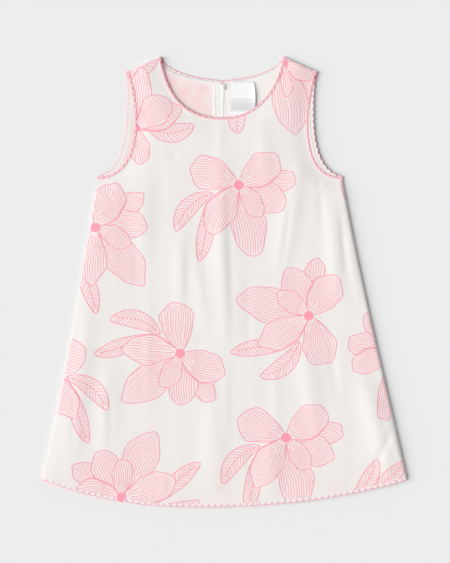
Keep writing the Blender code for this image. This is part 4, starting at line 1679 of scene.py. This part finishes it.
class DRESS_OT_back_cloth(DressOperator, bpy.types.Operator):
    """Back panels: two fine shells of cotton voile that lie on the surface"""

    bl_idname = "dress.back_cloth"
    bl_label = "Back cloth"

    def build(self, sizes):
        rows = panel_rows(BACK_ROWS, BACK_ROLL, BACK_LENGTH)
        outlines, _ = back_drawing()
        pieces = []
        for side_name, sign in SIDES:
            columns = sign * np.maximum(half_columns(BACK_COLUMNS, BACK_ROLL), CENTRE_SHARE)[::sign]
            mesh = lattice_mesh(columns, rows, back_place, turned=True)
            spots = coordinates(mesh)[:, :2]
            set_attribute(mesh, "wash", covered(spots, outlines))
            set_attribute(mesh, "lit_edge_painted_shade", lit_edge_painted_shade(spots, BACK_ROLL))
            name, node = f"back_cloth_{side_name}", f"back_panel_{side_name}"
            pieces.append(finish_piece(mesh, name, "cloth", node, sizes.cloth_thickness))
        return pieces


class DRESS_OT_lining(DressOperator, bpy.types.Operator):
    """Back lining: two thin shells on the inside of the back"""

    bl_idname = "dress.lining"
    bl_label = "Lining"

    def build(self, sizes):
        rows = np.linspace(0, 1, LINING_ROWS)
        pieces = []
        for side_name, sign in SIDES:
            columns = sign * np.linspace(CENTRE_SHARE, 1, LINING_COLUMNS)[::sign]
            mesh = lattice_mesh(columns, rows, lining_place)
            set_attribute(mesh, "show_through", print_under_lining(coordinates(mesh)[:, :2]))
            name, node = f"lining_{side_name}", f"back_lining_{side_name}"
            pieces.append(finish_piece(mesh, name, "lining", node, -sizes.lining_thickness))
        return pieces


class DRESS_OT_print(DressOperator, bpy.types.Operator):
    """Print: pink lines of large flowers on the front and the back"""

    bl_idname = "dress.print_lines"
    bl_label = "Print"

    def build(self, sizes):
        front = laid_outline(front_neck, front_armhole, lay)
        back = laid_outline(back_neck, back_armhole, lay_back)
        pieces = []
        for name, drawing, outline, surface, outwards in (
            ("front_print", front_drawing, front, on_front, 1),
            ("back_print", back_drawing, back, on_back, -1),
        ):
            mesh = ribbons(name, drawing()[1], outline, surface, outwards, sizes)
            pieces.append(finish_piece(mesh, name, "ink"))
        return pieces


class DRESS_OT_edging(DressOperator, bpy.types.Operator):
    """Edging: a scalloped border of cloth with a two-ply pink thread round the neck, armholes and hem"""

    bl_idname = "dress.edging"
    bl_label = "Edging"

    def build(self, sizes):
        pieces = []
        for node, runs in edging_runs().items():
            borders, lines = [], []
            for run, under, inner in runs:
                borders.append(border_mesh(run, under))
                lines += edging_lines(run, under, inner, sizes.edging_strand)
            border = joined(borders, "border")
            name = border_name(node)
            pieces.append(finish_piece(border, name, "cloth", wall=sizes.cloth_thickness))
            thread = thread_mesh(lines, sizes.edging_strand)
            set_attribute(thread, "edging_painted_shade", edging_painted_shade(coordinates(thread)[:, :2]))
            pieces.append(finish_piece(thread, f"{node}_thread", "edging", node))
        return pieces


class DRESS_OT_zip(DressOperator, bpy.types.Operator):
    """Zip: two corded tapes, two wound coils and the closed slider"""

    bl_idname = "dress.back_zip"
    bl_label = "Zip"

    def build(self, sizes):
        columns, rows = (np.linspace(0, 1, count) for count in (TAPE_COLUMNS, TAPE_ROWS))
        pieces = []
        for side_name, sign in SIDES:
            mesh = lattice_mesh(columns, rows, tape_place(sign), turned=sign < 0)
            name, node = f"tape_{side_name}", f"zip_tape_{side_name}"
            pieces.append(finish_piece(mesh, name, "tape", node, sizes.cloth_thickness))
        wound = thread_mesh([coil_line(-1), coil_line(1)], sizes.coil_wire)
        cords = thread_mesh([coil_cord(x) for x in COIL_CORDS], sizes.coil_wire * CORD_SHARE)
        coil = joined([wound, cords], "coil")
        pieces.append(finish_piece(coil, "coil", "coil", "zip_coil"))
        slider = slider_mesh()
        pieces.append(
            finish_piece(slider, "slider", "slider", "zip_slider", sharp_degrees=SLIDER_SHARP)
        )
        return pieces


class DRESS_OT_label(DressOperator, bpy.types.Operator):
    """Label: a looped satin ribbon with a grey band, darker to the right by painted shade, its right edge
    curled up
    """

    bl_idname = "dress.label"
    bl_label = "Label"

    def build(self, sizes):
        lower = np.linspace(0, LABEL_LAYER_END, LABEL_LOWER_ROWS)
        fold = np.linspace(0.5 - LABEL_FOLD / 2, 0.5 + LABEL_FOLD / 2, LABEL_FOLD_ROWS)
        upper = np.linspace(1 - LABEL_LAYER_END, 1, LABEL_UPPER_ROWS)
        rows = np.concatenate([lower, fold, upper])
        mesh = lattice_mesh(np.linspace(0, 1, LABEL_COLUMNS), rows, label_place)
        set_attribute(mesh, "band", label_band_and_painted_shade(coordinates(mesh)))
        return finish_piece(mesh, "neck_label_ribbon", "label", "neck_label", LABEL_THICKNESS)


class DRESS_OT_stitches(DressOperator, bpy.types.Operator):
    """Stitches: down both zip tapes and along the label's top"""

    bl_idname = "dress.stitches"
    bl_label = "Stitches"

    def build(self, sizes):
        x = ZIP_TAPE[1] - TAPE_STITCHES_IN
        ends = (ZIP_FOOT + TAPE_STITCHES_END, ZIP_TOP - TAPE_STITCHES_END)
        rows = [[(sign * x, y, TAPE_STITCH_HEIGHT) for y in ends] for _, sign in SIDES]
        ends = (LABEL_SPAN[0] + LABEL_STITCHES_END, LABEL_SPAN[1] - LABEL_STITCHES_END)
        rows.append([(x, LABEL_TOP - LABEL_STITCHES_DOWN, LABEL_STITCH_HEIGHT) for x in ends])
        lines = []
        for row in rows:
            lines += stitch_row(*(laid_back_at(*end) for end in row), sizes.stitch_radius)
        return finish_piece(thread_mesh(lines, sizes.stitch_radius), "stitches", "sewing")


class DRESS_OT_sheets(DressOperator, bpy.types.Operator):
    """Sheets: works out the flat areas of the front, back and lining, and lists what is sewn on them, but
    keeps none of it
    """

    bl_idname = "dress.sheets"
    bl_label = "Sheets"

    def build(self, sizes):
        edgings = ("neck_edging", "hem_edging", "armhole_edging_left", "armhole_edging_right")
        sewn_on = ["front_print", *(border_name(node) for node in edgings)]
        sewn_on += [f"{node}_thread" for node in edgings]
        2 * half_area(front_neck, front_armhole)
        for side_name, sewn_on in (("left", ("tape_left", "back_print")), ("right", ("tape_right",))):
            half_area(back_neck, back_armhole)
            half_area(back_neck, back_armhole, LINING_HEM_RISE)
        return True


class DRESS_OT_stage(DressOperator, bpy.types.Operator):
    """Stage: a pale floor, soft light from the left and a camera straight above"""

    bl_idname = "dress.stage"
    bl_label = "Stage"

    def build(self, sizes):
        scene = bpy.context.scene
        bm = bmesh.new()
        bmesh.ops.create_grid(bm, x_segments=8, y_segments=8, size=FLOOR_HALF)
        floor = bpy.data.objects.new("floor", as_mesh(bm, "floor"))
        floor.data.materials.append(material("floor"))
        scene.collection.objects.link(floor)

        world = bpy.data.worlds.new("studio")
        world.use_nodes = True
        background = world.node_tree.nodes["Background"]
        background.inputs["Color"].default_value = (1, 1, 1, 1)
        background.inputs["Strength"].default_value = AMBIENT
        scene.world = world

        key = bpy.data.lights.new("key", "SUN")
        key.energy = KEY_STRENGTH
        key.angle = math.radians(KEY_SIZE)
        lamp = bpy.data.objects.new("key", key)
        azimuth, height = math.radians(KEY_AZIMUTH), math.radians(KEY_ELEVATION)
        level = math.cos(height)
        away = Vector((math.cos(azimuth) * level, math.sin(azimuth) * level, math.sin(height)))
        lamp.rotation_euler = away.to_track_quat("Z", "Y").to_euler()

        camera = bpy.data.cameras.new("camera")
        camera.lens = LENS
        camera.sensor_width = SENSOR
        camera.clip_start, camera.clip_end = 0.1, 20
        eye = bpy.data.objects.new("camera", camera)
        eye.location = (VIEW_CENTRE_X, 0, VIEW_HEIGHT * LENS / SENSOR)
        for made in (lamp, eye):
            scene.collection.objects.link(made)
        scene.camera = eye
        scene.view_settings.view_transform = "Standard"
        return floor


OPERATORS = (
    DRESS_OT_front_cloth,
    DRESS_OT_back_cloth,
    DRESS_OT_lining,
    DRESS_OT_print,
    DRESS_OT_edging,
    DRESS_OT_zip,
    DRESS_OT_label,
    DRESS_OT_stitches,
    DRESS_OT_stage,
    DRESS_OT_sheets,
)


class DRESS_PT_pieces(bpy.types.Panel):
    """Lists the dress's pieces, sizes and colours"""

    bl_label = "Shift dress"
    bl_idname = "DRESS_PT_pieces"
    bl_space_type = "VIEW_3D"
    bl_region_type = "UI"
    bl_category = "Dress"

    def draw(self, context):
        for group in (context.scene.dress_sizes, context.scene.dress_colours):
            box = self.layout.box()
            for name in group.__annotations__:
                box.prop(group, name)
        for operator in OPERATORS:
            self.layout.operator(operator.bl_idname)


CLASSES = (DressSizes, DressColours, *OPERATORS, DRESS_PT_pieces)


def register():
    for cls in CLASSES:
        bpy.utils.register_class(cls)
    bpy.types.Scene.dress_sizes = PointerProperty(type=DressSizes)
    bpy.types.Scene.dress_colours = PointerProperty(type=DressColours)


def unregister():
    del bpy.types.Scene.dress_colours
    del bpy.types.Scene.dress_sizes
    for cls in reversed(CLASSES):
        bpy.utils.unregister_class(cls)


def main():
    register()
    for operator in OPERATORS:
        group, name = operator.bl_idname.split(".")
        getattr(getattr(bpy.ops, group), name)()


if __name__ == "__main__":
    main()
